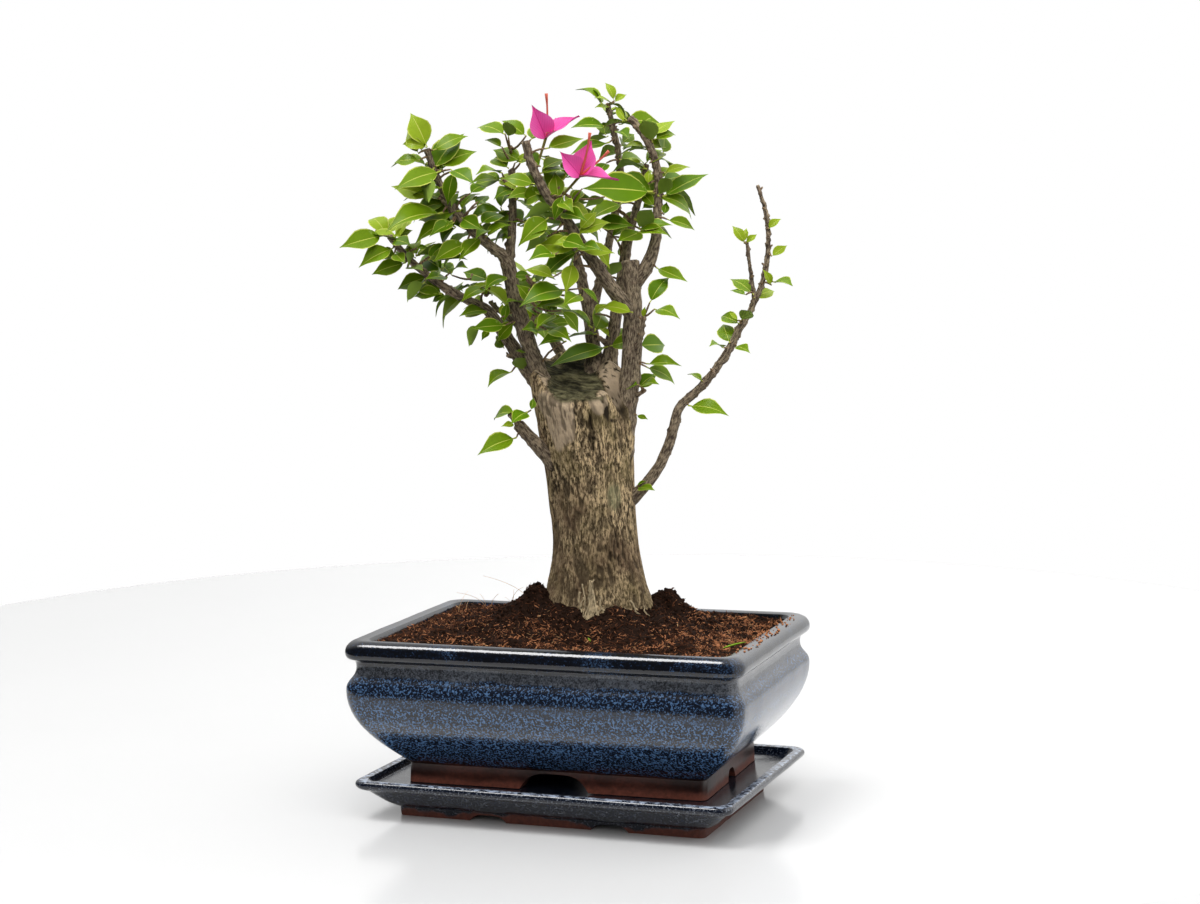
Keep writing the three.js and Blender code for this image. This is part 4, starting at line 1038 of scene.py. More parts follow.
def trunk_top(rim, ragged, cleft):
    """The rough sawn face inside a rim, as rings towards its middle, and its marks."""
    middle = trunk_axis(SAWN_MID_Z)
    inward = np.linspace(1, 0, TOP_RINGS + 1)[1:-1, None]
    top = rim[None] * inward[..., None] + rim.mean(0) * (1 - inward[..., None])
    top[..., 2] = sawn_height(top) + shoulder_height(top) + ragged * inward ** 3 - cleft * inward ** 5
    rough = lumps(top * (0.6, 1.4, 1), 3.1, 8) * 1.0 + lumps(top, 8, 12) * 1.6
    top[..., 2] += rough * (1 - inward ** 6) - 1.2 * (1 - inward ** 4)
    sideways = (top - middle) @ RIGHT
    back = (middle - top) @ FRONT
    oval = np.hypot((sideways - SAWN_AT[0]) / SAWN_SIZE[0], (back - SAWN_AT[1]) / SAWN_SIZE[1])
    oval = oval + 0.1 * lumps(top, 4, 18)
    oval = oval + 0.11 * shoulder_height(top)
    ring = hump(oval - 1.02, 0.05)
    pits = smoothstep(0.2, 0.5, lumps(top, 1.6, 19))
    # Painted shade in the cleft where it cuts into the sawn face, laid into the dark mark.
    cleft_shade = 0.6 * cleft / CLEFT_DEPTH * smoothstep(0.6, 0.85, inward)
    return top, {
        "hollow": np.clip(ring + pits + cleft_shade, 0, 1), "plate": smoothstep(1.0, 1.2, oval),
        "lichen": 0 * oval, "sawn": smoothstep(1.1, 0.96, oval),
    }


def trunk_shape(relief):
    """The trunk's skin with its relief, closed over the top by the rough sawn face."""
    side, marks, ragged, cleft = trunk_side(relief)
    top, top_marks = trunk_top(side[-1], ragged, cleft)
    joined = {name: np.concatenate([marks[name], top_marks[name]]) for name in marks}
    shape = Shape()
    add_tube(shape, np.concatenate([side, top]), tips=("sawn",), **joined)
    return shape


ROOTS, ROOT_STEPS, ROOT_TOPS, ROOT_END = 26, 14, (124, 146), 117


def root_shape(rng):
    """Thin pale roots that creep down the front of the trunk's foot."""
    shape = Shape()
    for _ in range(ROOTS):
        turn = TO_VIEWER + rng.choice([rng.normal(-0.12, 0.07), rng.normal(0.1, 0.4)], p=[0.7, 0.3])
        z = np.linspace(rng.uniform(*ROOT_TOPS), ROOT_END, ROOT_STEPS)
        turns = turn + np.cumsum(rng.normal(0, 0.022, ROOT_STEPS))
        stray = np.cumsum(np.abs(rng.normal(0, 0.12, ROOT_STEPS)))
        radius = trunk_radius(turns, z) + 0.5 + stray
        girth = np.linspace(rng.uniform(0.5, 0.95), 0.25, ROOT_STEPS)
        add_line(shape, trunk_axis(z) + polar(radius, turns, 0), girth[:, None], 5)
    return shape


def ways_of(points):
    ways = unit(np.diff(points, axis=0))
    return np.vstack([ways, ways[-1:]])


def limb_path(run, foot, steps):
    """Points and directions along a limb, worked out step by step from its angles."""
    share = (np.arange(steps) + 0.5) / steps
    heading = np.radians(run.heading + run.swing * share)
    rise = np.radians(run.rise + run.sweep * share)
    ways = np.stack([np.cos(rise) * np.cos(heading), np.cos(rise) * np.sin(heading), np.sin(rise)], -1)
    points = np.array(foot, float) + np.vstack([np.zeros(3), np.cumsum(ways * run.length / steps, 0)])
    return points, np.vstack([ways, ways[-1:]])


def point_along(path, share):
    spot = share * (len(path[0]) - 1)
    i = min(int(spot), len(path[0]) - 2)
    return path[0][i] + (path[0][i + 1] - path[0][i]) * (spot - i)


def way_along(path, share):
    last = len(path[1]) - 1
    return path[1][min(int(share * last), last)]


def across(way):
    """Two directions square to a way, the first as near level as it can be."""
    guide = np.array([1.0, 0, 0]) if abs(way[2]) > STEEP else UP
    side = unit(np.cross(guide, way))
    return side, np.cross(way, side)


def foot_of(run, paths):
    if isinstance(run.foot[0], str):
        return point_along(paths[run.foot[0]], run.foot[1])
    return np.array(run.foot, float)


def from_front(offset):
    """A step to the right, up and towards the viewer, in the part's own frame."""
    return RIGHT * offset[0] + UP * offset[1] + FRONT * offset[2]


def limb_paths():
    """The paths of all boughs and stems, in the steps that the solids have."""
    paths = {}
    for name, run in BOUGHS.items():
        paths[name] = limb_path(run, foot_of(run, paths), LIMB_STEPS)
    for name, mass in MASSES.items():
        paths[name] = limb_path(mass.run, foot_of(mass.run, paths), LIMB_STEPS)
    return paths


PATHS = limb_paths()


def limb_grid(points, radii, sides):
    """Rings of points round a line of points, and the outward direction at each."""
    ways = ways_of(points)
    along = unit(np.vstack([ways[:1], ways[:-1]]) + ways)
    side = across(ways[0])[0]
    carried = []
    for way in along:
        side = unit(side - way * (side @ way))
        carried.append(side)
    side = np.array(carried)
    other = np.cross(along, side)
    turn = all_round(sides)[..., None]
    outward = np.cos(turn) * side[:, None] + np.sin(turn) * other[:, None]
    return points[:, None] + outward * np.broadcast_to(radii, (len(points), sides))[..., None], outward


def add_tube(shape, grid, kind=0, tips=(), **marks):
    """A closed skin through rings of points. The marks named in tips are full at its last end."""
    levels, count = grid.shape[:2]
    quads, fans = ring_faces(levels, count)
    ends = [grid[0].mean(0), grid[-1].mean(0)]
    filled = {}
    for name, values in marks.items():
        filled[name] = np.concatenate([np.ravel(values), [0, float(name in tips)]])
    shape.add(np.vstack([grid.reshape(-1, 3), ends]), [(quads, kind), (fans, kind)], filled)


def add_line(shape, points, radii, sides, kind=0):
    """A round line through points."""
    grid, _ = limb_grid(points, radii, sides)
    add_tube(shape, grid, kind)


def root_line(points):
    """Points that carry a limb on from its foot, down and into the trunk."""
    foot, way = points[0], unit(points[1] - points[0])
    inward = trunk_axis(foot[2]) - foot
    start = foot - way * ROOT_DEPTH + unit(inward) * 0.45 * ROOT_DEPTH
    share = np.linspace(0, 1, ROOT_DEPTH, endpoint=False)[:, None]
    return bent(start, foot - way * ROOT_DEPTH / 2, foot, share)


def whole_limbs():
    """The limbs by name, each as its run and the runs that go on from its end."""
    runs = {**BOUGHS, **{name: mass.run for name, mass in MASSES.items()}}
    after = {run.foot[0]: name for name, run in runs.items() if is_onward(run)}
    limbs = {}
    for name, run in runs.items():
        if is_onward(run):
            continue
        limbs[name] = [run]
        last = name
        while last in after:
            last = after[last]
            limbs[name].append(runs[last])
    return limbs


def is_onward(run):
    """True for a limb that sets out from the very end of another."""
    return isinstance(run.foot[0], str) and run.foot[1] == 1


def limb_line(runs):
    """Points along runs that follow one another, eased at the joints, and the radius at each."""
    foot = foot_of(runs[0], PATHS)
    points, girths = [foot[None]], [[runs[0].girth[0]]]
    for run in runs:
        steps = max(int(run.length / LIMB_STEP), 8)
        points.append(limb_path(run, points[-1][-1], steps)[0][1:])
        girths.append(lerp(run.girth, np.linspace(0, 1, steps + 1)[1:]))
    line = np.column_stack([np.vstack(points), np.concatenate(girths) / 2])
    for _ in range(LIMB_EASE):
        line[1:-1] = (line[:-2] + 2 * line[1:-1] + line[2:]) / 4
    return line[:, :3], line[:, 3]


BOUGH_SIDES, BOUGH_COLLAR, FORK_COLLAR = 22, 0.4, 0.12
STEM_SIDES, STEM_COLLAR = 14, 0.25


def wart_marks(way, turn, radius, rng):
    """Warts spaced along a limb, closer where it is slim: how high they stand and how pale they are."""
    height = scar = np.zeros(np.broadcast_shapes(way.shape, turn.shape))
    at = 2.0
    while at < way[-1, 0]:
        girth = 2 * np.interp(at, way[:, 0], radius[:, 0])
        slim = girth < SLIM_GIRTH
        size = rng.uniform(0.8, 1.5) * (0.55 + 0.05 * girth)
        off = angle_gap(turn, rng.uniform(0, 7)) * radius
        near = np.exp(-((way - at) / size) ** 2 - (off / (1.3 * size)) ** 2)
        height = height + near * rng.uniform(0.3, 1.3 if slim else 0.8)
        scar = np.maximum(scar, near * rng.uniform(0.3, 1.0))
        at += rng.uniform(0.6, 1.4) * (SLIM_WART_GAP if slim else WART_GAP)
    return height, scar


def add_limb(shape, runs, rng, sides, collar):
    """A limb with cracked bark, a collar at its foot, warts all along and a blunt tip."""
    points, radius = limb_line(runs)
    way = np.concatenate([[0], np.cumsum(np.linalg.norm(np.diff(points, axis=0), axis=-1))])
    length = way[-1]
    if not isinstance(runs[0].foot[0], str):
        points = np.vstack([root_line(points), points])
        radius = np.concatenate([np.full(ROOT_DEPTH, radius[0]), radius])
        way = np.concatenate([np.arange(-ROOT_DEPTH, 0), way])
    way, radius = way[:, None], radius[:, None]
    turn = all_round(sides)
    flare = collar * np.exp(-np.maximum(way, 0) / 9) + 0.13 * np.exp((way - length) / 3)
    radius = radius * (1 + flare)
    flat = polar(radius, turn, way)
    offset = rng.uniform(0, 500, 3)
    cracks = 1 - 2 * np.abs(lumps(flat * (1, 1, 0.4) + offset, 1.5, 5))
    swell = lumps(flat * (0.6, 0.6, 1) + offset, 6.5, 6)
    warts, scar = wart_marks(way, turn, radius, rng)
    relief = 0.22 * cracks + 0.1 * radius * swell + warts
    is_twig = radius[-1, 0] < TWIG_RADIUS
    scar = np.maximum(scar, 0.8 * is_twig * smoothstep(length - TWIG_TIP, length, way))
    blunt = np.clip((length - way) / 0.9, 0.72, 1)
    grid, outward = limb_grid(points, radius * blunt, sides)
    dark = np.clip(0.45 - 0.7 * cracks, 0, 1)
    skin = grid + outward * (relief * blunt)[..., None]
    add_tube(shape, skin, hollow=dark, scar=scar, **grain_marks(flat + offset))


def grain_marks(points):
    """Where each point lies in a limb's own length and girth, for grain that runs along it."""
    return {"grain_" + axis: points[..., number] for number, axis in enumerate("xyz")}


def bough_bark(looks, name, base, scars):
    """Cracked grey-brown bark with pale warts."""
    finish = Finish(name, roughness=0.85, specular=0.25)
    axes = {axis: finish.mark("grain_" + axis.lower()) for axis in "XYZ"}
    along = finish.node("ShaderNodeCombineXYZ", axes).outputs["Vector"]
    fine = finish.noise(1.0, 5, 0.68, finish.stretched((1, 1, 0.3), along))
    stops = [(0.42, looks.bough_dark), (0.5, base), (0.57, shade(base, 1.8))]
    patches = finish.mix(finish.noise(70, 3), looks.bough_dark, base)
    colour = finish.mix(0.28, finish.ramp(fine, *stops), patches)
    colour = finish.mix(finish.times(finish.mark("hollow"), 0.75), colour, looks.bough_dark)
    speck = finish.ramp(finish.noise(900, 3), (0.42, 0.0), (0.6, 1.0))
    spread = finish.times(finish.mark("scar"), finish.plus(finish.times(speck, 0.8), 0.2))
    colour = finish.mix(finish.times(spread, scars), colour, looks.scar)
    return finish.set(Base_Color=colour, Normal=finish.bump(fine, 0.55, 0.6))


class BONSAI_OT_trunk(bpy.types.Operator):
    """Make the trunk with its bark, sawn top and fine roots"""

    bl_idname = "bonsai.trunk"
    bl_label = "Trunk"

    def execute(self, context):
        looks = context.scene.bonsai_bark
        shape = trunk_shape(looks.relief / MM)
        place("trunk_bark", shape, [trunk_bark(looks)], ["trunk"])
        finish = Finish("fine_roots", roughness=0.85, specular=0.2)
        tone = finish.noise(300, 4)
        colour = finish.ramp(tone, (0.35, shade(looks.root, 0.4)), (0.65, looks.root))
        finish.set(Base_Color=colour, Normal=finish.bump(tone, 0.4, 0.3))
        roots = root_shape(np.random.default_rng(ROOT_SEED))
        place("fine_roots", roots, [finish.material])
        return {"FINISHED"}


class BONSAI_OT_boughs(bpy.types.Operator):
    """Make the boughs that rise from the trunk"""

    bl_idname = "bonsai.boughs"
    bl_label = "Boughs"

    def execute(self, context):
        looks = context.scene.bonsai_bark
        rng = np.random.default_rng(BOUGH_SEED)
        shape = Shape()
        for name, runs in whole_limbs().items():
            if name in BOUGHS:
                collar = COLLARS.get(name, FORK_COLLAR if isinstance(runs[0].foot[0], str) else BOUGH_COLLAR)
                add_limb(shape, runs, rng, BOUGH_SIDES, collar)
        bark = bough_bark(looks, "bough_bark", looks.bough, 0.75)
        place("bough_bark", shape, [bark], list(BOUGHS))
        return {"FINISHED"}


Spur = namedtuple("Spur", "foot tip way share blades")
Blade = namedtuple("Blade", "root out size roll light arch", defaults=(None, None))
Marked = namedtuple("Marked", "tone foot way blade")


def spur_blades(mass, foot, tip, way, share, draw):
    """The leaves of one spur: they fan out from it, most of them away from the plant's middle."""
    away = tip - trunk_axis(PLANT_MID_Z)
    away = unit(np.array([away[0], away[1], 0])) * LEAF_OUTWARD + way
    outward = unit(np.array([away[0], away[1], 0]))
    blades = []
    for k in range(mass.leaves):
        fan = math.radians((k - (mass.leaves - 1) / 2) * LEAF_FAN + FAN_SCATTER * (draw() - 0.5))
        pitch = math.radians(lerp(LEAF_PITCH, draw()) + TIP_LIFT * share ** 4)
        size = mass.leaf * lerp(LEAF_SIZES, draw()) * (1 - TIP_SHRINK * share)
        roll = math.radians(LEAF_ROLL * (draw() - 0.5))
        out = turned(outward, UP, fan) * math.cos(pitch) + UP * math.sin(pitch)
        root = foot + (tip - foot) * (FIRST_LEAF - LEAF_STEP * k)
        blades.append(Blade(root, out, size, roll))
    return blades


def stem_spurs(mass, path, nodes, draw):
    """The spurs of one stem, spaced along it and turned by the golden angle."""
    spurs = []
    for node in range(nodes):
        share = lerp((FIRST_NODE, 1), (node + NODE_OFFSET) / nodes)
        turn = math.radians(node * GOLDEN_ANGLE + TURN_SCATTER * draw())
        stem_way = way_along(path, share)
        side, other = across(stem_way)
        way = side * math.cos(turn) + other * math.sin(turn) + stem_way * SPUR_LEAN + UP * SPUR_LIFT
        way = unit(way)
        foot = point_along(path, share)
        tip = foot + way * lerp(SPUR_LENGTHS, draw())
        spurs.append(Spur(foot, tip, way, share, spur_blades(mass, foot, tip, way, share, draw)))
    return spurs


def grown_masses():
    """For each mass its stems as runs with their feet, the ends of them, and all its spurs."""
    grown = {}
    for name, mass in MASSES.items():
        draw = seeded(mass.seed)
        stems = [(mass.run, foot_of(mass.run, PATHS))]
        spurs = stem_spurs(mass, PATHS[name], mass.nodes, draw)
        ends = [PATHS[name]]
        for fork in mass.forks:
            foot = foot_of(fork.run, PATHS)
            path = limb_path(fork.run, foot, LIMB_STEPS // 2)
            stems.append((fork.run, foot))
            spurs += stem_spurs(mass, path, fork.nodes, draw)
            ends.append(path)
        grown[name] = (stems, ends, spurs)
    return grown


def view_axes():
    """The camera's place, and its right, up and back directions."""
    return np.array(CAMERA_AT), *np.array(camera_turn()).T


def seen(points):
    """Where points show on the upright plane through the origin, and how deep in the view they lie."""
    eye, level, upright, back = view_axes()
    depth = (eye - points) @ back
    plane = eye + (points - eye) * ((eye @ back) / depth)[:, None]
    return np.stack([plane @ level, plane @ upright], -1), depth


def depth_of(point):
    return seen(point[None])[1][0]


def in_view(spot, depth):
    """The point that shows at a spot of that plane and lies at a depth."""
    eye, level, upright, back = view_axes()
    plane = level * spot[0] + upright * spot[1]
    return eye + (plane - eye) * (depth / (eye @ back))


def marked_stems(name, stems):
    """Points along the stems of a mass and along the boughs that it grows on."""
    runs = list(stems)
    bough = BOUGHS.get(MASSES[name].run.foot[0])
    while bough:
        runs.append((bough, foot_of(bough, PATHS)))
        bough = BOUGHS.get(bough.foot[0])
    return np.vstack([limb_path(run, foot, STEM_STEPS)[0] for run, foot in runs])


def marked_blade(row, root, rng, cloud):
    """A marked leaf's blade, at a lean where no limb is in its way if there is one."""
    x0, z0, x1, z1, tone = row
    span = math.hypot(x1 - x0, z1 - z0)
    full = max(FULL_STRETCH * span, min(span + FULL_MORE, FULL_MOST))
    if span < SMALL_SPAN or tone == "y":
        full = SMALL_STRETCH * span
    nearer = math.sqrt(full ** 2 - span ** 2) * rng.choice([1, 1, 1, -0.5])
    if z1 > z0 + RISING and tone != "p":
        nearer = -abs(nearer)
    elif span > LONG:
        nearer = abs(nearer)
    light = UP * 0.75 + FRONT * rng.uniform(0.5, 1.2)
    light = light - 2 * FRONT if tone == "p" else light
    arch = rng.uniform(0.05, 0.2)
    for reach in (nearer, 0.4 * nearer + 3, nearer + 7, nearer - 8):
        way = in_view((x1, z1), depth_of(root) - reach) - root
        aim = unit(way)
        lift = unit(light - aim * (light @ aim))
        out = unit(aim + 0.8 * arch * lift)
        blade = Blade(root, out, np.linalg.norm(way), rng.normal(0, 0.3), light, arch)
        if is_clear(leaf_samples(blade, 0.5), *cloud):
            break
    return blade


def marked_leaves(grown, seed):
    """The leaves that stand out in the view, each on the nearest stem of its mass."""
    rng = np.random.default_rng(seed)
    cloud = limb_cloud()
    out = []
    for name, rows in MARKED.items():
        stems = marked_stems(name, grown[name][0])
        ways = ways_of(stems)
        spots, depths = seen(stems)
        for row in rows:
            gaps = np.linalg.norm(spots - row[:2], axis=-1)
            near = int(np.argmin(gaps))
            root = in_view(row[:2], depths[near] - ROOT_SLANT * gaps[near] - ROOT_BEFORE)
            out.append(Marked(row[4], stems[near], ways[near], marked_blade(row, root, rng, cloud)))
    return out


SPUR_SIDES = 7
SPUR_TAPER = np.array([1.25, 1.0, 0.8, 0.75, 0.7, 0.5])[:, None]
SPUR_LEAST, SPUR_BEND, SPUR_SHORT = 0.5, 0.7, 0.45


def spur_lines(grown, seed):
    """Foot, tip and first way of each spur, of marked leaves and then of the rule's."""
    lines = []
    for leaf in marked_leaves(grown, seed):
        root = leaf.blade.root
        back = max(np.linalg.norm(root - leaf.foot) - SPUR_LENGTHS[1], 0)
        lines.append((leaf.foot - leaf.way * back, root, leaf.way))
    for name, (_, _, spurs) in grown.items():
        short = SPUR_SHORT if name in MARKED else 1
        lines += [(spur.foot, spur.foot + (spur.tip - spur.foot) * short, spur.way) for spur in spurs]
    return lines


def add_spur(shape, foot, tip, way, rng):
    """A short spur that leaves its stem along a way and bends to its tip."""
    length = np.linalg.norm(tip - foot)
    if length <= SPUR_LEAST:
        return
    size = (len(SPUR_TAPER), SPUR_SIDES)
    pull = (foot + tip) / 2 + (way * length / 2 - (tip - foot) / 2) * SPUR_BEND
    points = bent(foot, pull, tip, np.linspace(0, 1, size[0])[:, None])
    girth = SPUR_TAPER * SPUR_GIRTH[1] / 2
    grid, _ = limb_grid(points, girth * rng.uniform(0.9, 1.15, size), SPUR_SIDES)
    scar = rng.uniform(0, 1, size)
    add_tube(shape, grid, hollow=np.zeros(size), scar=scar, **grain_marks(grid))


class BONSAI_OT_twigs(bpy.types.Operator):
    """Make the leafy stems, their forks and the spurs that carry the leaves"""

    bl_idname = "bonsai.twigs"
    bl_label = "Twigs"

    def execute(self, context):
        looks = context.scene.bonsai_bark
        rng = np.random.default_rng(TWIG_SEED)
        stems, spurs = Shape(), Shape()
        slim = [runs for name, runs in whole_limbs().items() if name in MASSES]
        slim += [[fork.run] for mass in MASSES.values() for fork in mass.forks]
        for runs in slim:
            add_limb(stems, runs, rng, STEM_SIDES, STEM_COLLAR)
        for foot, tip, way in spur_lines(grown_masses(), context.scene.bonsai_leaf.seed):
            add_spur(spurs, foot, tip, way, rng)
        bark = bough_bark(looks, "stem_bark", shade(looks.bough, 0.85), 1.0)
        place("leafy_stems", stems, [bark])
        wood = bough_bark(looks, "spur_bark", looks.spur, 0.8)
        place("leaf_spurs", spurs, [wood])
        return {"FINISHED"}


# Half the girth of a leaf's stalk, as shares of the leaf, and the number of leaves at a stem's end.
STALK_TAPER = np.array([0.02, 0.017, 0.013])[:, None]
END_LEAVES = 4

LEAF_ROWS = np.array([0, 0.04, 0.12, 0.24, 0.38, 0.53, 0.68, 0.81, 0.92, 1.0])
LEAF_COLUMNS = np.array([-1, -0.9, -0.04, 0.04, 0.9, 1.0])
CREASE = math.radians(60)
THIN_LEAST = 0.4
BLADE, EDGE, UNDER = 0, 1, 2


def leaf_half_width(along):
    """Half the width of an oval leaf drawn out to a point, as a share of its full width."""
    return 0.5 * np.sin(math.pi * along ** 0.76) * (1 - 0.55 * smoothstep(0.5, 1, along))


def leaf_sheet(blade, looks, side, lift, rng):
    """Points of a leaf's upper face: folded along its rib, arched and a little wavy."""
    stalk = blade.size * looks.stalk
    fold = rng.uniform(0.05, 0.45)
    arch = rng.uniform(0.04, 0.3) if blade.arch is None else blade.arch
    bend = rng.normal(0, 0.05)
    wave = rng.uniform(0, 2 * math.pi)
    width = looks.width * rng.uniform(0.85, 1.12)
    t = LEAF_ROWS[:, None]
    u = LEAF_COLUMNS[None, :]
    half = width * leaf_half_width(t)
    out = u * half * (1 - 0.25 * fold * fold) + bend * t * t
    high = arch * (1.3 * t * (1 - t) - t ** 3) + fold * half * np.abs(u)
    high = high + 0.02 * np.sin(9 * t + wave + 2 * np.sign(u)) * np.abs(u) * (1 - t)
    along = t * (1 - 0.35 * arch * t) + 0 * u
    reach = along[..., None] * blade.out + out[..., None] * side + high[..., None] * lift
    return blade.root + blade.out * stalk + (blade.size - stalk) * reach


def leaf_blocks(rows, columns):
    """Faces of a leaf: blade, pale edges and rib above, and two sides that meet in a keel below."""
    grid = np.arange(rows * columns).reshape(rows, columns)
    blocks = []
    for column, kind in enumerate([EDGE, BLADE, EDGE, BLADE, EDGE]):
        blocks.append((grid_faces(grid[:, column:column + 2])[:, ::-1], kind))
    keel = np.concatenate([[grid[0, 2]], grid.size + np.arange(rows - 2), [grid[-1, 2]]])
    for first, second in [(grid[:, 0], keel), (keel, grid[:, -1])]:
        blocks.append((grid_faces(np.stack([first, second], -1)), UNDER))
    return blocks


def add_leaf(shape, blade, looks, rng):
    """One leaf: a folded, arching blade with a pale edge and rib, on a thin stalk."""
    light = blade.light
    if light is None:
        middle = blade.root - trunk_axis(SAWN_MID_Z)
        light = UP + 0.6 * unit(np.array([middle[0], middle[1], 1e-6])) + 0.5 * FRONT
    face = turned(unit(light - blade.out * (light @ blade.out)), blade.out, 0.6 * blade.roll)
    side = unit(np.cross(face, blade.out))
    lift = np.cross(blade.out, side)
    sheet = leaf_sheet(blade, looks, side, lift, rng)
    thick = max(looks.thickness * blade.size, THIN_LEAST)
    keel = (sheet[1:-1, 2] + sheet[1:-1, 3]) / 2 - lift * thick
    shape.add(np.vstack([sheet.reshape(-1, 3), keel]), leaf_blocks(*sheet.shape[:2]))
    steps = np.linspace(0, 1, len(STALK_TAPER))[:, None]
    sag = lift * 0.1 * blade.size * looks.stalk * (steps * (1 - steps))
    stalk = blade.root * (1 - steps) + keel[0] * steps + sag
    add_line(shape, stalk, STALK_TAPER * blade.size, 4, EDGE)


def leaf_samples(blade, width):
    """A few points on a leaf, to see what it would touch."""
    side = unit(np.cross(UP, blade.out))
    along = np.array([0.3, 0.5, 0.7, 0.95])[:, None]
    middle = blade.root + blade.out * blade.size * along
    spread = side * blade.size * width * 0.35
    return np.vstack([middle, middle[:3] + spread, middle[:3] - spread])


def limb_cloud():
    """Points along all boughs and stems, with the limb's radius at each."""
    centres, radii = [], []
    runs = [(run, foot_of(run, PATHS)) for run in BOUGHS.values()]
    runs += [stem for stems, _, _ in grown_masses().values() for stem in stems]
    for run, foot in runs:
        points, _ = limb_path(run, foot, max(int(run.length / 2), 3))
        centres.append(points)
        radii.append(lerp(run.girth, np.linspace(0, 1, len(points))) / 2)
    return np.vstack(centres), np.concatenate(radii)


def is_clear(samples, centres, radii):
    """True where none of the samples lies in a limb or in the trunk."""
    gaps = np.linalg.norm(samples[:, None] - centres[None], axis=-1)
    if (gaps < radii[None] + 0.4).any():
        return False
    low = samples[samples[:, 2] < sawn_height(samples) + 1]
    reach = np.linalg.norm((low - trunk_axis(low[:, 2]))[:, :2], axis=-1)
    return not (reach < trunk_radius(0.0, low[:, 2]) + 2).any()


def leaf_finish(name, colour, roughness, vary):
    """A leaf's face: one plain colour with a fine grain in its gloss."""
    finish = Finish(name, roughness=roughness, specular=0.14)
    tone = finish.mix(finish.noise(110, 2), shade(colour, 1 - vary), shade(colour, 1 + vary))
    return finish.set(Base_Color=tone, Normal=finish.bump(finish.noise(650, 3), 0.08, 0.2))


def tip_of(blade):
    return blade.root + blade.out * blade.size


def is_wanted(name, blade):
    """True for a leaf of the rule that doesn't stand before the marked leaves of its mass."""
    spot = seen(tip_of(blade)[None])[0][0]
    is_dense = np.hypot(*((spot - DENSE_AT) / DENSE_SIZE)) < 1
    return name not in MARKED or blade.out @ FRONT <= (DENSE_MOST if is_dense else -AWAY_LEAST)


def add_spur_leaves(sprays, name, spur, looks, rng, cloud):
    """The leaves of one spur and small ones at its tip, all of one colour, where there is room."""
    mass = MASSES[name]
    odds = np.array([0.34 * (1 - spur.share), 0.5, 0.1 + 0.5 * spur.share ** 2])
    spray = sprays[rng.choice(list(sprays), p=odds / sum(odds))]
    blades = [blade for blade in spur.blades if np.linalg.norm(tip_of(blade) - spur.foot) < mass.reach]
    for _ in range(looks.extra):
        turn = rng.uniform(0, 2 * math.pi)
        stray = np.array([math.cos(turn), math.sin(turn), rng.uniform(-0.3, 0.6)])
        size = mass.leaf * rng.uniform(0.4, 0.8)
        blades.append(Blade(spur.tip, unit(spur.way * 0.7 + stray), size, rng.uniform(-0.7, 0.7)))
    for blade in blades:
        if is_wanted(name, blade) and is_clear(leaf_samples(blade, looks.width), *cloud):
            add_leaf(spray, blade, looks, rng)


def add_end_leaves(shape, path, full, looks, rng):
    """Young leaves round the end of a stem."""
    tip, way = path[0][-1], path[1][-1]
    side, other = across(way)
    for k in range(END_LEAVES):
        turn = k * math.radians(GOLDEN_ANGLE) + rng.uniform(0, 0.5)
        out = unit(way * rng.uniform(0.5, 1.3) + side * math.cos(turn) + other * math.sin(turn))
        blade = Blade(tip - way, out, full * rng.uniform(0.28, 0.5), rng.uniform(-0.5, 0.5))
        add_leaf(shape, blade, looks, rng)


class BONSAI_OT_leaves(bpy.types.Operator):
    """Make the leaves, in sprays of three colours"""

    bl_idname = "bonsai.leaves"
    bl_label = "Leaves"

    def execute(self, context):
        looks = context.scene.bonsai_leaf
        rng = np.random.default_rng(looks.seed)
        colours = {"dark": looks.dark, "mid": looks.mid, "young": looks.young}
        sprays = {tone: Shape(CREASE) for tone in colours}
        cloud = limb_cloud()
        grown = grown_masses()
        for leaf in marked_leaves(grown, looks.seed):
            add_leaf(sprays[TONES[leaf.tone]], leaf.blade, looks, rng)
        for name, (_, ends, spurs) in grown.items():
            if name in NO_RULE:
                continue
            for spur in spurs:
                add_spur_leaves(sprays, name, spur, looks, rng, cloud)
            for path in ends if name not in MARKED else []:
                add_end_leaves(sprays["young"], path, MASSES[name].leaf, looks, rng)
        edge = leaf_finish("leaf_edge", looks.edge, 0.45, 0.15)
        under = leaf_finish("leaf_underside", looks.under, 0.6, 0.15)
        nodes = list(MASSES)
        for tone, shape in sprays.items():
            upper = leaf_finish("leaf_" + tone, colours[tone], 0.36, 0.2)
            place("leaves_" + tone, shape, [upper, edge, under], nodes)
            nodes = []
        return {"FINISHED"}


BRACT_WIDTH, BRACT_THICKNESS = 0.66, 0.3
BRACT_ROWS, BRACT_COLUMNS = 15, 11
BLOOM_GIRTH = (1.3, 1.8)


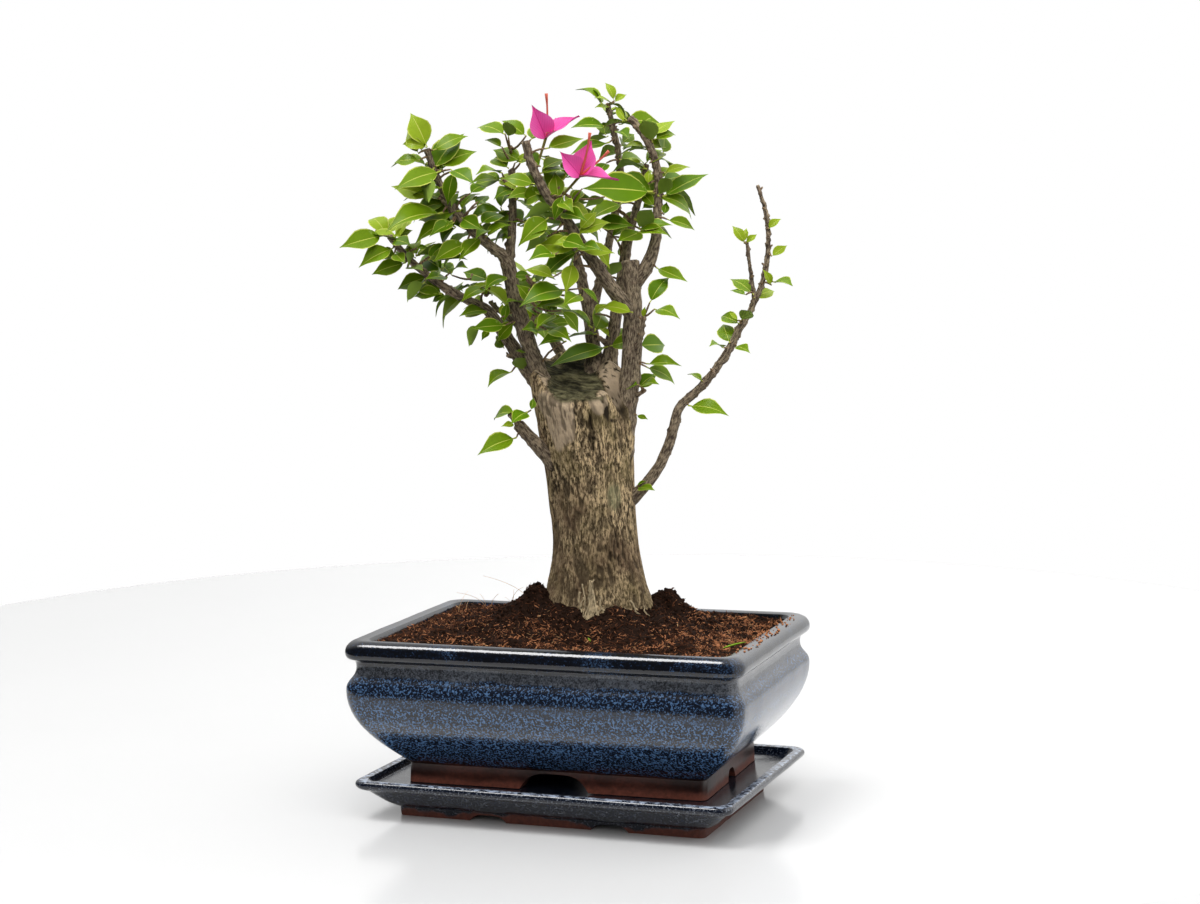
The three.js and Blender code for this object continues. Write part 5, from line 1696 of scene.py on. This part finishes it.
def add_bract(shape, root, way, face, size, rng):
    """One papery bract: a broad pointed blade, hollowed and ruffled, with its own map."""
    t = np.linspace(0, 1, BRACT_ROWS)[:, None]
    u = np.linspace(-1, 1, BRACT_COLUMNS)[None, :]
    side = unit(np.cross(face, way))
    lift = np.cross(way, side)
    half = BRACT_WIDTH * leaf_half_width(t)
    wave = rng.uniform(0, 6, 2)
    high = 0.4 * half * np.abs(u) ** 1.2 - 0.06 * t * t - 0.03 * np.sin(7 * t + wave[0]) * u
    high = high + 0.02 * np.sin(11 * t + wave[1]) * u * u
    along = (t + 0 * u)[..., None] * way
    top = root + size * (along + (u * half)[..., None] * side + high[..., None] * lift)
    low = top[1:-1, 1:-1] - lift * BRACT_THICKNESS
    grid = np.arange(BRACT_ROWS * BRACT_COLUMNS).reshape(BRACT_ROWS, BRACT_COLUMNS)
    under = grid.copy()
    inner = under[1:-1, 1:-1]
    inner[:] = grid.size + np.arange(inner.size).reshape(inner.shape)
    spread = np.stack(np.broadcast_arrays(u * half / BRACT_WIDTH + 0.5, t), -1)
    uvs = np.vstack([spread.reshape(-1, 2), spread[1:-1, 1:-1].reshape(-1, 2)])
    blocks = [(grid_faces(grid)[:, ::-1], 0), (grid_faces(under), 0)]
    shape.add(np.vstack([top.reshape(-1, 3), low.reshape(-1, 3)]), blocks, uvs=uvs)


def bract_paper(looks):
    """Papery magenta with a darker rib and branching veins, from the bract's own map."""
    finish = Finish("bract_paper", roughness=0.55, specular=0.3)
    spread = finish.node("ShaderNodeUVMap", uv_map="UVMap").outputs["UV"]
    parts = finish.node("ShaderNodeSeparateXYZ", {"Vector": spread}).outputs
    off = finish.work("ABSOLUTE", finish.work("SUBTRACT", parts["X"], 0.5))
    rib = finish.span(off, 0.03, 0.008)
    wander = finish.times(finish.noise(140, 2), 0.12)
    slant = finish.work("SUBTRACT", parts["Y"], finish.times(off, 1.3))
    waves = finish.work("SINE", finish.times(finish.plus(slant, wander), 52.0))
    veins = finish.times(finish.span(waves, 0.8, 1.0), 0.5)
    lines = finish.work("MAXIMUM", rib, veins)
    paleness = finish.plus(off, finish.times(finish.noise(90, 3), 0.5))
    paper = finish.mix(paleness, looks.bract, looks.pale)
    colour = finish.mix(finish.times(lines, 0.7), paper, looks.vein)
    return finish.set(Base_Color=colour, Normal=finish.bump(lines, 0.4, 0.3))


def plain_skin(name, scale, first, second):
    """A dull skin of two colours that run into one another."""
    finish = Finish(name, roughness=0.6, specular=0.3)
    tone = finish.mix(finish.noise(scale, 3), first, second)
    return finish.set(Base_Color=tone, Normal=finish.bump(finish.noise(900, 3), 0.3, 0.3))


def add_bloom_tube(shape, tip, reach, girth):
    """One flower tube: swollen low down and flared at its mouth."""
    share = np.linspace(0, 1, 9)[:, None]
    line = tip + reach * share + RIGHT * 0.8 * np.sin(share * 3)
    swell = 0.55 + 0.25 * hump(share - 0.25, 0.2) + 0.4 * smoothstep(0.75, 1, share)
    add_line(shape, line, swell * girth / 2, 8)


class BONSAI_OT_blooms(bpy.types.Operator):
    """Make the bracts, flower tubes and stalks of the blooms"""

    bl_idname = "bonsai.blooms"
    bl_label = "Blooms"

    def execute(self, context):
        looks = context.scene.bonsai_bloom
        rng = np.random.default_rng(BLOOM_SEED)
        bracts, tubes, stalks = Shape(CREASE), Shape(), Shape()
        for bloom in BLOOMS.values():
            run = Run(bloom.foot, bloom.heading, bloom.rise, 0, 0, bloom.stalk, BLOOM_GIRTH)
            points, _ = limb_path(run, foot_of(run, PATHS), LIMB_STEPS)
            radii = np.linspace(*BLOOM_GIRTH, len(points))[:, None] / 2
            add_line(stalks, points, radii, 6)
            tip = points[-1]
            for *offset, facing in bloom.bracts:
                reach = from_front(offset)
                lean = unit(reach)
                light = FRONT * facing + UP * 0.45
                face = unit(light - lean * (light @ lean))
                add_bract(bracts, tip - lean, lean, face, np.linalg.norm(reach), rng)
            for offset in bloom.tubes:
                add_bloom_tube(tubes, tip, from_front(offset), looks.tube_girth / MM)
        place("bloom_bracts", bracts, [bract_paper(looks)], list(BLOOMS))
        skin = plain_skin("flower_tube", 260, shade(looks.tube, 0.75), shade(looks.tube, 1.25))
        place("flower_tubes", tubes, [skin])
        skin = plain_skin("bloom_stalk", 200, (0.16, 0.1, 0.03), (0.2, 0.2, 0.04))
        place("bloom_stalks", stalks, [skin])
        return {"FINISHED"}


# Blades of grass on the soil: place in plan, heading and length.
GRASS = [(101, -40, 0.35, 14), (24, -56, 2.2, 5)]
GRASS_TAPER = np.array([0.3, 0.5, 0.6, 0.6, 0.5, 0.35, 0.1])[:, None]

# Clods on the soil: to the right of the middle and into the view, height and breadth.
CLODS = [
    (-28, -7, 13, 10), (-40, 1, 6, 12), (-20, -26, 4, 9), (54, 1, 10, 9), (64, -6, 4, 9), (22, -40, 3, 10),
    (-6, -36, 4, 8),
]

SOIL_COUNTS = (228, 154)
SKIRT_Z, SKIRT_INSET, WALL_MARGIN = 92, 0.97, 3
SHREDS, SHRED_LENGTHS, SHRED_GIRTHS = 14, (1.8, 5.5), (0.15, 0.36)
CRUMBS = 6
# Loose hairs stand at the back left. Crumbs lie on the rim at the right.
HAIRS, HAIR_X, HAIR_Y, HAIR_TALL = 16, (-100, -20), (30, 68), (6, 26)
HAIR_TAPER = np.linspace(0.16, 0.07, 9)[:, None]
RIM_CRUMBS, RIM_SIDE, RIM_REACH, RIM_SIZE = 70, (-62, 72), (112.5, 122), (0.35, 1.0)


def mound_share(x, y):
    """How near a point in plan is to the trunk: 0 at the pot's wall, 1 at the trunk's foot."""
    middle = trunk_axis(MOUND_Z)
    dx, dy = x - middle[0], y - middle[1]
    reach = np.hypot(dx, dy)
    edge = np.minimum(
        (np.sign(dx) * SOIL_HALF[0] - middle[0]) / np.where(dx == 0, 1e-6, dx),
        (np.sign(dy) * SOIL_HALF[1] - middle[1]) / np.where(dy == 0, 1e-6, dy),
    ) * reach
    return 1 - np.clip((reach - MOUND_RADIUS) / np.maximum(edge - MOUND_RADIUS, 1), 0, 1)


def soil_height(x, y):
    """Height of the soil: level at the rim, climbing in clods to the foot of the trunk."""
    share = mound_share(x, y)
    z = SOIL_EDGE_Z + (MOUND_Z - SOIL_EDGE_Z) * share ** 1.6
    sideways = x * RIGHT[0] + y * RIGHT[1]
    depthways = y * RIGHT[0] - x * RIGHT[1]
    for across_view, into_view, rise, size in CLODS:
        z = z + rise * np.exp(-((sideways - across_view) ** 2 + (depthways - into_view) ** 2) / size ** 2)
    flat = np.stack(np.broadcast_arrays(x, y, 0 * x), -1)
    loose = 0.5 + 0.5 * share
    return z + loose * (1.6 * lumps(flat, 15, 3) + 2.0 * lumps(flat, 6, 4)) + 0.8 * lumps(flat, 2.6, 5)


def soil_masks(grid):
    """How thickly wet crumbs, damp shreds and dry shreds lie at each point of the soil."""
    x, y, z = np.moveaxis(grid, -1, 0)
    turn = np.arctan2(y - TRUNK_FOOT_AT[1], x - TRUNK_FOOT_AT[0])
    reach = np.linalg.norm((grid - trunk_axis(z))[..., :2], axis=-1)
    is_open = reach - trunk_radius(turn, np.maximum(z, GROUND_Z)) > -1
    is_open &= (np.abs(x) < SOIL_HALF[0] - WALL_MARGIN) & (np.abs(y) < SOIL_HALF[1] - WALL_MARGIN)
    near = mound_share(x, y)
    flat = grid * (1, 1, 0)
    clumps = smoothstep(-0.45, 0.5, lumps(flat, 10, 31) + 0.5 * lumps(flat, 4, 32))
    clumps = clumps * (0.85 + 0.5 * x / SOIL_HALF[0])
    return {
        "wet": is_open * (0.3 + 0.9 * near),
        "damp": is_open * (1.05 - 0.8 * near),
        "dry": is_open * np.clip(1.6 - 1.6 * near, 0, 2) * clumps,
    }


def soil_shape():
    """The soil's surface, on a skirt that goes down inside the pot."""
    sides = [np.linspace(-half, half, count) for half, count in zip(SOIL_HALF, SOIL_COUNTS)]
    x, y = np.meshgrid(*sides)
    grid = np.stack([x, y, soil_height(x, y)], -1)
    index = np.arange(x.size).reshape(x.shape)
    border = np.concatenate([index[0, :-1], index[:-1, -1], index[-1, :0:-1], index[:0:-1, 0]])
    skirt = grid.reshape(-1, 3)[border] * (SKIRT_INSET, SKIRT_INSET, 0) + (0, 0, SKIRT_Z)
    foot = index.size + np.arange(len(border))
    walls = np.stack([np.roll(border, -1), np.roll(foot, -1), foot, border], -1)
    bare = np.zeros(len(border))
    marks = {name: np.concatenate([mask.ravel(), bare]) for name, mask in soil_masks(grid).items()}
    blocks = [(grid_faces(index), 0), (walls, 0), (foot[None, ::-1], 0)]
    shape = Shape()
    shape.add(np.vstack([grid.reshape(-1, 3), skirt]), blocks, marks)
    return shape


def shred_mesh(rng, length, girth):
    """One bent sliver of fibre."""
    share = np.linspace(0, 1, 4)
    bend = rng.normal(0, 0.22, 2) * length
    points = np.stack([
        (share - 0.5) * length,
        bend[0] * share * (1 - share) * 2 + rng.normal(0, 0.05, 4) * length,
        bend[1] * share * (1 - share) + rng.normal(0, 0.03, 4) * length,
    ], -1)
    girths = girth * np.array([0.35, 1.1, 0.95, 0.3]) * rng.uniform(0.7, 1.3, 4)
    shape = Shape()
    add_line(shape, points, girths[:, None] * rng.uniform(0.6, 1.4, (4, 3)), 3)
    return shape.mesh("shred")


def crumb_grid(rng):
    """Points of one rough crumb of peat."""
    turn = all_round(6)
    tilt = np.array([-0.8, -0.25, 0.35, 0.85])[:, None]
    reach = np.cos(tilt * 1.4) * rng.uniform(0.7, 1.25, (4, 6))
    return polar(reach, turn, tilt) * (1, 0.8, 0.8)


def crumb_mesh(rng):
    shape = Shape()
    add_tube(shape, crumb_grid(rng))
    return shape.mesh("crumb")


def scatter_tree():
    """Nodes that strew small things over a surface and turn each its own way."""
    tree = bpy.data.node_groups.new("strew", "GeometryNodeTree")
    kinds = {
        "Surface": "Geometry", "Things": "Collection", "Count": "Float", "Smallest": "Float",
        "Largest": "Float", "Tilt": "Float", "Seed": "Int", "Mask": "String", "Finish": "Material",
    }
    keys = {}
    for name, kind in kinds.items():
        socket = tree.interface.new_socket(name=name, in_out="INPUT", socket_type="NodeSocket" + kind)
        keys[name] = socket.identifier
    tree.interface.new_socket(name="Strewn", in_out="OUTPUT", socket_type="NodeSocketGeometry")
    node = Nodes(tree).node
    given = node("NodeGroupInput").outputs
    mask = node("GeometryNodeInputNamedAttribute", {"Name": given["Mask"]}).outputs["Attribute"]
    density = node("ShaderNodeMath", {0: mask, 1: given["Count"]}, operation="MULTIPLY").outputs[0]
    spots = {"Mesh": given["Surface"], "Density": density, "Seed": given["Seed"]}
    points = node("GeometryNodeDistributePointsOnFaces", spots).outputs["Points"]
    pick = {"Collection": given["Things"], "Separate Children": True, "Reset Children": True}
    things = node("GeometryNodeCollectionInfo", pick).outputs["Instances"]
    tilt = given["Tilt"]
    minus = node("ShaderNodeMath", {0: tilt, 1: -1}, operation="MULTIPLY").outputs[0]
    low = node("ShaderNodeCombineXYZ", {"X": minus, "Y": minus}).outputs[0]
    high = node("ShaderNodeCombineXYZ", {"X": tilt, "Y": tilt, "Z": 2 * math.pi}).outputs[0]
    turns = {0: low, 1: high, "Seed": given["Seed"]}
    turn = node("FunctionNodeRandomValue", turns, data_type="FLOAT_VECTOR").outputs[0]
    sizes = {2: given["Smallest"], 3: given["Largest"], "Seed": given["Seed"]}
    size = node("FunctionNodeRandomValue", sizes).outputs[1]
    each = {
        "Points": points, "Instance": things, "Pick Instance": True, "Rotation": turn, "Scale": size,
    }
    strewn = node("GeometryNodeInstanceOnPoints", each).outputs["Instances"]
    real = node("GeometryNodeRealizeInstances", {"Geometry": strewn}).outputs["Geometry"]
    dressed = node("GeometryNodeSetMaterial", {"Geometry": real, "Material": given["Finish"]})
    node("NodeGroupOutput", {"Strewn": dressed.outputs["Geometry"]})
    return tree, keys


def strew(name, surface, meshes, values):
    """A plain mesh of many small things strewn over a surface mesh."""
    things = bpy.data.collections.new(name + "_kinds")
    for mesh in meshes:
        things.objects.link(bpy.data.objects.new(mesh.name, mesh))
    ground = add_object(name, surface)
    tree, keys = scatter_tree()
    step = ground.modifiers.new("strew", "NODES")
    step.node_group = tree
    for key, value in {"Things": things, **values}.items():
        step[keys[key]] = value
    mesh = evaluated_mesh(ground, name)
    for obj in [ground, *things.objects]:
        bpy.data.objects.remove(obj)
    bpy.data.collections.remove(things)
    return mesh


def soil_finish(name, colour, vary):
    """A dull crumbly skin that varies about a colour."""
    finish = Finish(name, roughness=0.95, specular=0.1)
    stops = [(0.3, shade(colour, 1 - vary)), (0.7, shade(colour, 1 + vary))]
    mixed = finish.ramp(finish.noise(260, 4, 0.65), *stops)
    return finish.set(Base_Color=mixed, Normal=finish.bump(finish.noise(1500, 4, 0.7), 0.5, 0.4))


def hair_shape(rng):
    """Loose hairs of fibre that stand up from the soil."""
    shape = Shape()
    share = np.linspace(0, 1, len(HAIR_TAPER))
    for _ in range(HAIRS):
        x, y = rng.uniform(*HAIR_X), rng.uniform(*HAIR_Y)
        lean = rng.normal(0, 0.5, 2)
        tall = rng.uniform(*HAIR_TALL)
        z = soil_height(np.array(x), np.array(y)) + tall * share * (1 - 0.3 * share)
        stray = tall * share ** 1.5
        points = np.stack([x + lean[0] * stray, y + lean[1] * stray, z], -1)
        add_line(shape, points, HAIR_TAPER, 4)
    return shape


def rim_crumb_shape(rng):
    """Crumbs that have fallen on the rim."""
    shape = Shape()
    for _ in range(RIM_CRUMBS):
        side, reach, size = rng.uniform(*RIM_SIDE), rng.uniform(*RIM_REACH), rng.uniform(*RIM_SIZE)
        add_tube(shape, crumb_grid(rng) * size + (reach, side, RIM_Z + 0.3 * size))
    return shape


def grass_shape():
    """Blades of grass on the soil."""
    shape = Shape()
    share = np.linspace(0, 1, len(GRASS_TAPER))[:, None]
    for x, y, heading, length in GRASS:
        way = np.array([math.cos(heading), math.sin(heading), 0])
        line = np.array([x, y, soil_height(np.array(x), np.array(y)) + 1]) + way * length * share
        line = line + UP * length * (0.35 * share - 0.1 * share ** 2)
        add_line(shape, line, GRASS_TAPER, 4)
    return shape


class BONSAI_OT_soil(bpy.types.Operator):
    """Make the soil with its shreds of fibre, crumbs and loose hairs"""

    bl_idname = "bonsai.soil"
    bl_label = "Soil"

    def execute(self, context):
        looks = context.scene.bonsai_soil
        rng = np.random.default_rng(looks.seed)
        surface = soil_shape().mesh("soil_mound")
        place("soil_mound", surface, [soil_finish("peat", looks.ground, 0.5)], ["soil"])
        shreds = []
        for _ in range(SHREDS):
            shreds.append(shred_mesh(rng, rng.uniform(*SHRED_LENGTHS), rng.uniform(*SHRED_GIRTHS)))
        crumbs = [crumb_mesh(rng) for _ in range(CRUMBS)]
        layers = [
            ("dark_shreds", shreds, looks.dark_count, 0.6, 1.3, 0.9, "damp", looks.dark),
            ("red_shreds", shreds, looks.red_count, 0.6, 1.2, 0.8, "dry", looks.red),
            ("tan_shreds", shreds, looks.tan_count, 0.4, 1.0, 0.8, "dry", looks.pale),
            ("peat_crumbs", crumbs, looks.crumb_count, 0.5, 1.7, 3.0, "wet", looks.ground),
        ]
        for number, (name, kinds, count, small, large, tilt, mask, colour) in enumerate(layers):
            material = soil_finish(name, colour, 0.45)
            values = {
                "Count": float(count), "Smallest": small, "Largest": large, "Tilt": tilt,
                "Seed": looks.seed + number, "Mask": mask, "Finish": material,
            }
            place(name, strew(name, surface, kinds, values), [material])
        loose = [
            ("loose_hairs", hair_shape(rng), looks.pale, 0.3, "soil"),
            ("rim_crumbs", rim_crumb_shape(rng), looks.red, 0.45, "soil"),
            ("grass_blades", grass_shape(), looks.grass, 0.3, "leaf"),
        ]
        for name, shape, colour, vary, slot in loose:
            place(name, shape, [soil_finish(name, colour, vary)])
        return {"FINISHED"}


def camera_turn():
    """The camera's right, up and back directions as a turning matrix."""
    yaw, dip, roll = (math.radians(a) for a in (CAMERA_YAW, CAMERA_DIP, CAMERA_ROLL))
    back = np.array([math.sin(yaw) * math.cos(dip), -math.cos(yaw) * math.cos(dip), math.sin(dip)])
    right = np.array([math.cos(yaw), math.sin(yaw), 0])
    up = np.cross(back, right)
    level = right * math.cos(roll) + up * math.sin(roll)
    upright = up * math.cos(roll) - right * math.sin(roll)
    return Matrix(np.column_stack([level, upright, back]).tolist())


# Each lamp: its name, the breadth of its light and its tilts, in degrees.
LAMPS = [("key", 50, (34, 16, 20)), ("fill", 70, (48, -20, 20))]
# The room's light: an even glow and lobes of direction, where a lobe starts and where it is full as
# a cosine, and strength. They lie above and behind, to the right, and in a lamp above on the left.
ROOM_GLOW = 0.07
ROOM_LOBES = [
    (UP * 0.87 - FRONT * 0.5, 0.3, 0.95, 0.9),
    (RIGHT * 0.95 - FRONT * 0.3, 0.0, 0.75, 0.9),
    (UP * 0.93 - RIGHT * 0.36 + FRONT * 0.09, 0.972, 0.985, 13.0),
]
FLOOR_SIDES, FLOOR_Z = 96, -0.02


class BONSAI_OT_stage(bpy.types.Operator):
    """Set the pale floor, the soft light and the camera"""

    bl_idname = "bonsai.stage"
    bl_label = "Stage"

    def execute(self, context):
        scene = context.scene
        looks = scene.bonsai_stage
        self.lay_floor(looks)
        self.set_camera(scene)
        for name, breadth, tilts in LAMPS:
            lamp = add_object(name + "_light", bpy.data.lights.new(name + "_light", "SUN"))
            lamp.data.energy = getattr(looks, name)
            lamp.data.angle = math.radians(breadth)
            lamp.rotation_euler = [math.radians(tilt) for tilt in tilts]
            lamp.visible_glossy = False
        scene.world = self.surroundings(looks)
        scene.view_settings.view_transform = "Standard"
        return {"FINISHED"}

    def lay_floor(self, looks):
        """A round pale floor that reaches further behind the pot than before it."""
        radius = looks.floor_radius / MM
        ring = polar(radius, all_round(FLOOR_SIDES), FLOOR_Z) - FRONT * (radius - looks.floor_front / MM)
        shape = Shape()
        shape.add(ring, [(np.arange(FLOOR_SIDES)[None, :], 0)])
        floor = add_object("floor", shape.mesh("floor"))
        finish = Finish("pale_floor", roughness=0.16, specular=0.4)
        tone = finish.mix(finish.noise(6, 3), shade(looks.floor, 0.97), looks.floor)
        floor.data.materials.append(finish.set(Base_Color=tone))

    def set_camera(self, scene):
        camera = add_object("camera", bpy.data.cameras.new("camera"))
        camera.data.lens = CAMERA_LENS
        camera.data.sensor_width = CAMERA_SENSOR
        camera.data.clip_start, camera.data.clip_end = CAMERA_CLIP
        at = Matrix.Translation([c * MM for c in CAMERA_AT])
        camera.matrix_world = at @ camera_turn().to_4x4()
        scene.camera = camera

    def surroundings(self, looks):
        """A room that is bright above, behind and to the right, and dim on the viewer's side."""
        world = bpy.data.worlds.new("room")
        world.use_nodes = True
        nodes = Nodes(world.node_tree)
        spot = nodes.node("ShaderNodeTexCoord").outputs["Generated"]
        light = ROOM_GLOW
        for direction, low, high, strength in ROOM_LOBES:
            inputs = {0: spot, 1: tuple(direction)}
            dot = nodes.node("ShaderNodeVectorMath", inputs, operation="DOT_PRODUCT").outputs["Value"]
            inputs = {"Value": dot, "From Min": low, "From Max": high, "To Max": strength}
            lobe = nodes.node("ShaderNodeMapRange", inputs, interpolation_type="SMOOTHSTEP")
            light = nodes.node("ShaderNodeMath", {0: light, 1: lobe.outputs["Result"]}).outputs[0]
        glow = world.node_tree.nodes["Background"]
        nodes.feed(glow.inputs["Color"], (1, 1, 1))
        nodes.feed(glow.inputs["Strength"], light)
        backdrop = nodes.node("ShaderNodeBackground", {"Color": tuple(looks.backdrop)})
        is_seen = nodes.node("ShaderNodeLightPath").outputs["Is Camera Ray"]
        shaders = {0: is_seen, 1: glow.outputs[0], 2: backdrop.outputs[0]}
        either = nodes.node("ShaderNodeMixShader", shaders)
        nodes.feed(world.node_tree.nodes["World Output"].inputs["Surface"], either.outputs[0])
        return world


class BONSAI_PT_panel(bpy.types.Panel):
    """Lists the pieces of the bonsai"""

    bl_idname = "BONSAI_PT_panel"
    bl_label = "Bonsai"
    bl_space_type = "VIEW_3D"
    bl_region_type = "UI"
    bl_category = "Bonsai"

    def draw(self, context):
        for maker in MAKERS:
            self.layout.operator(maker.bl_idname)


MAKERS = [
    BONSAI_OT_stage, BONSAI_OT_pot, BONSAI_OT_soil, BONSAI_OT_trunk, BONSAI_OT_boughs, BONSAI_OT_twigs,
    BONSAI_OT_leaves, BONSAI_OT_blooms,
]
LOOKS = {
    "bonsai_pot": PotLooks, "bonsai_soil": SoilLooks, "bonsai_bark": BarkLooks, "bonsai_leaf": LeafLooks,
    "bonsai_bloom": BloomLooks, "bonsai_stage": StageLooks,
}


def register():
    for group in LOOKS.values():
        bpy.utils.register_class(group)
    for name, group in LOOKS.items():
        setattr(bpy.types.Scene, name, PointerProperty(type=group))
    for maker in MAKERS:
        bpy.utils.register_class(maker)
    bpy.utils.register_class(BONSAI_PT_panel)


def unregister():
    bpy.utils.unregister_class(BONSAI_PT_panel)
    for maker in reversed(MAKERS):
        bpy.utils.unregister_class(maker)
    for name in LOOKS:
        delattr(bpy.types.Scene, name)
    for group in LOOKS.values():
        bpy.utils.unregister_class(group)


def main():
    register()
    for maker in MAKERS:
        getattr(bpy.ops.bonsai, maker.bl_idname.split(".")[1])()


if __name__ == "__main__":
    main()
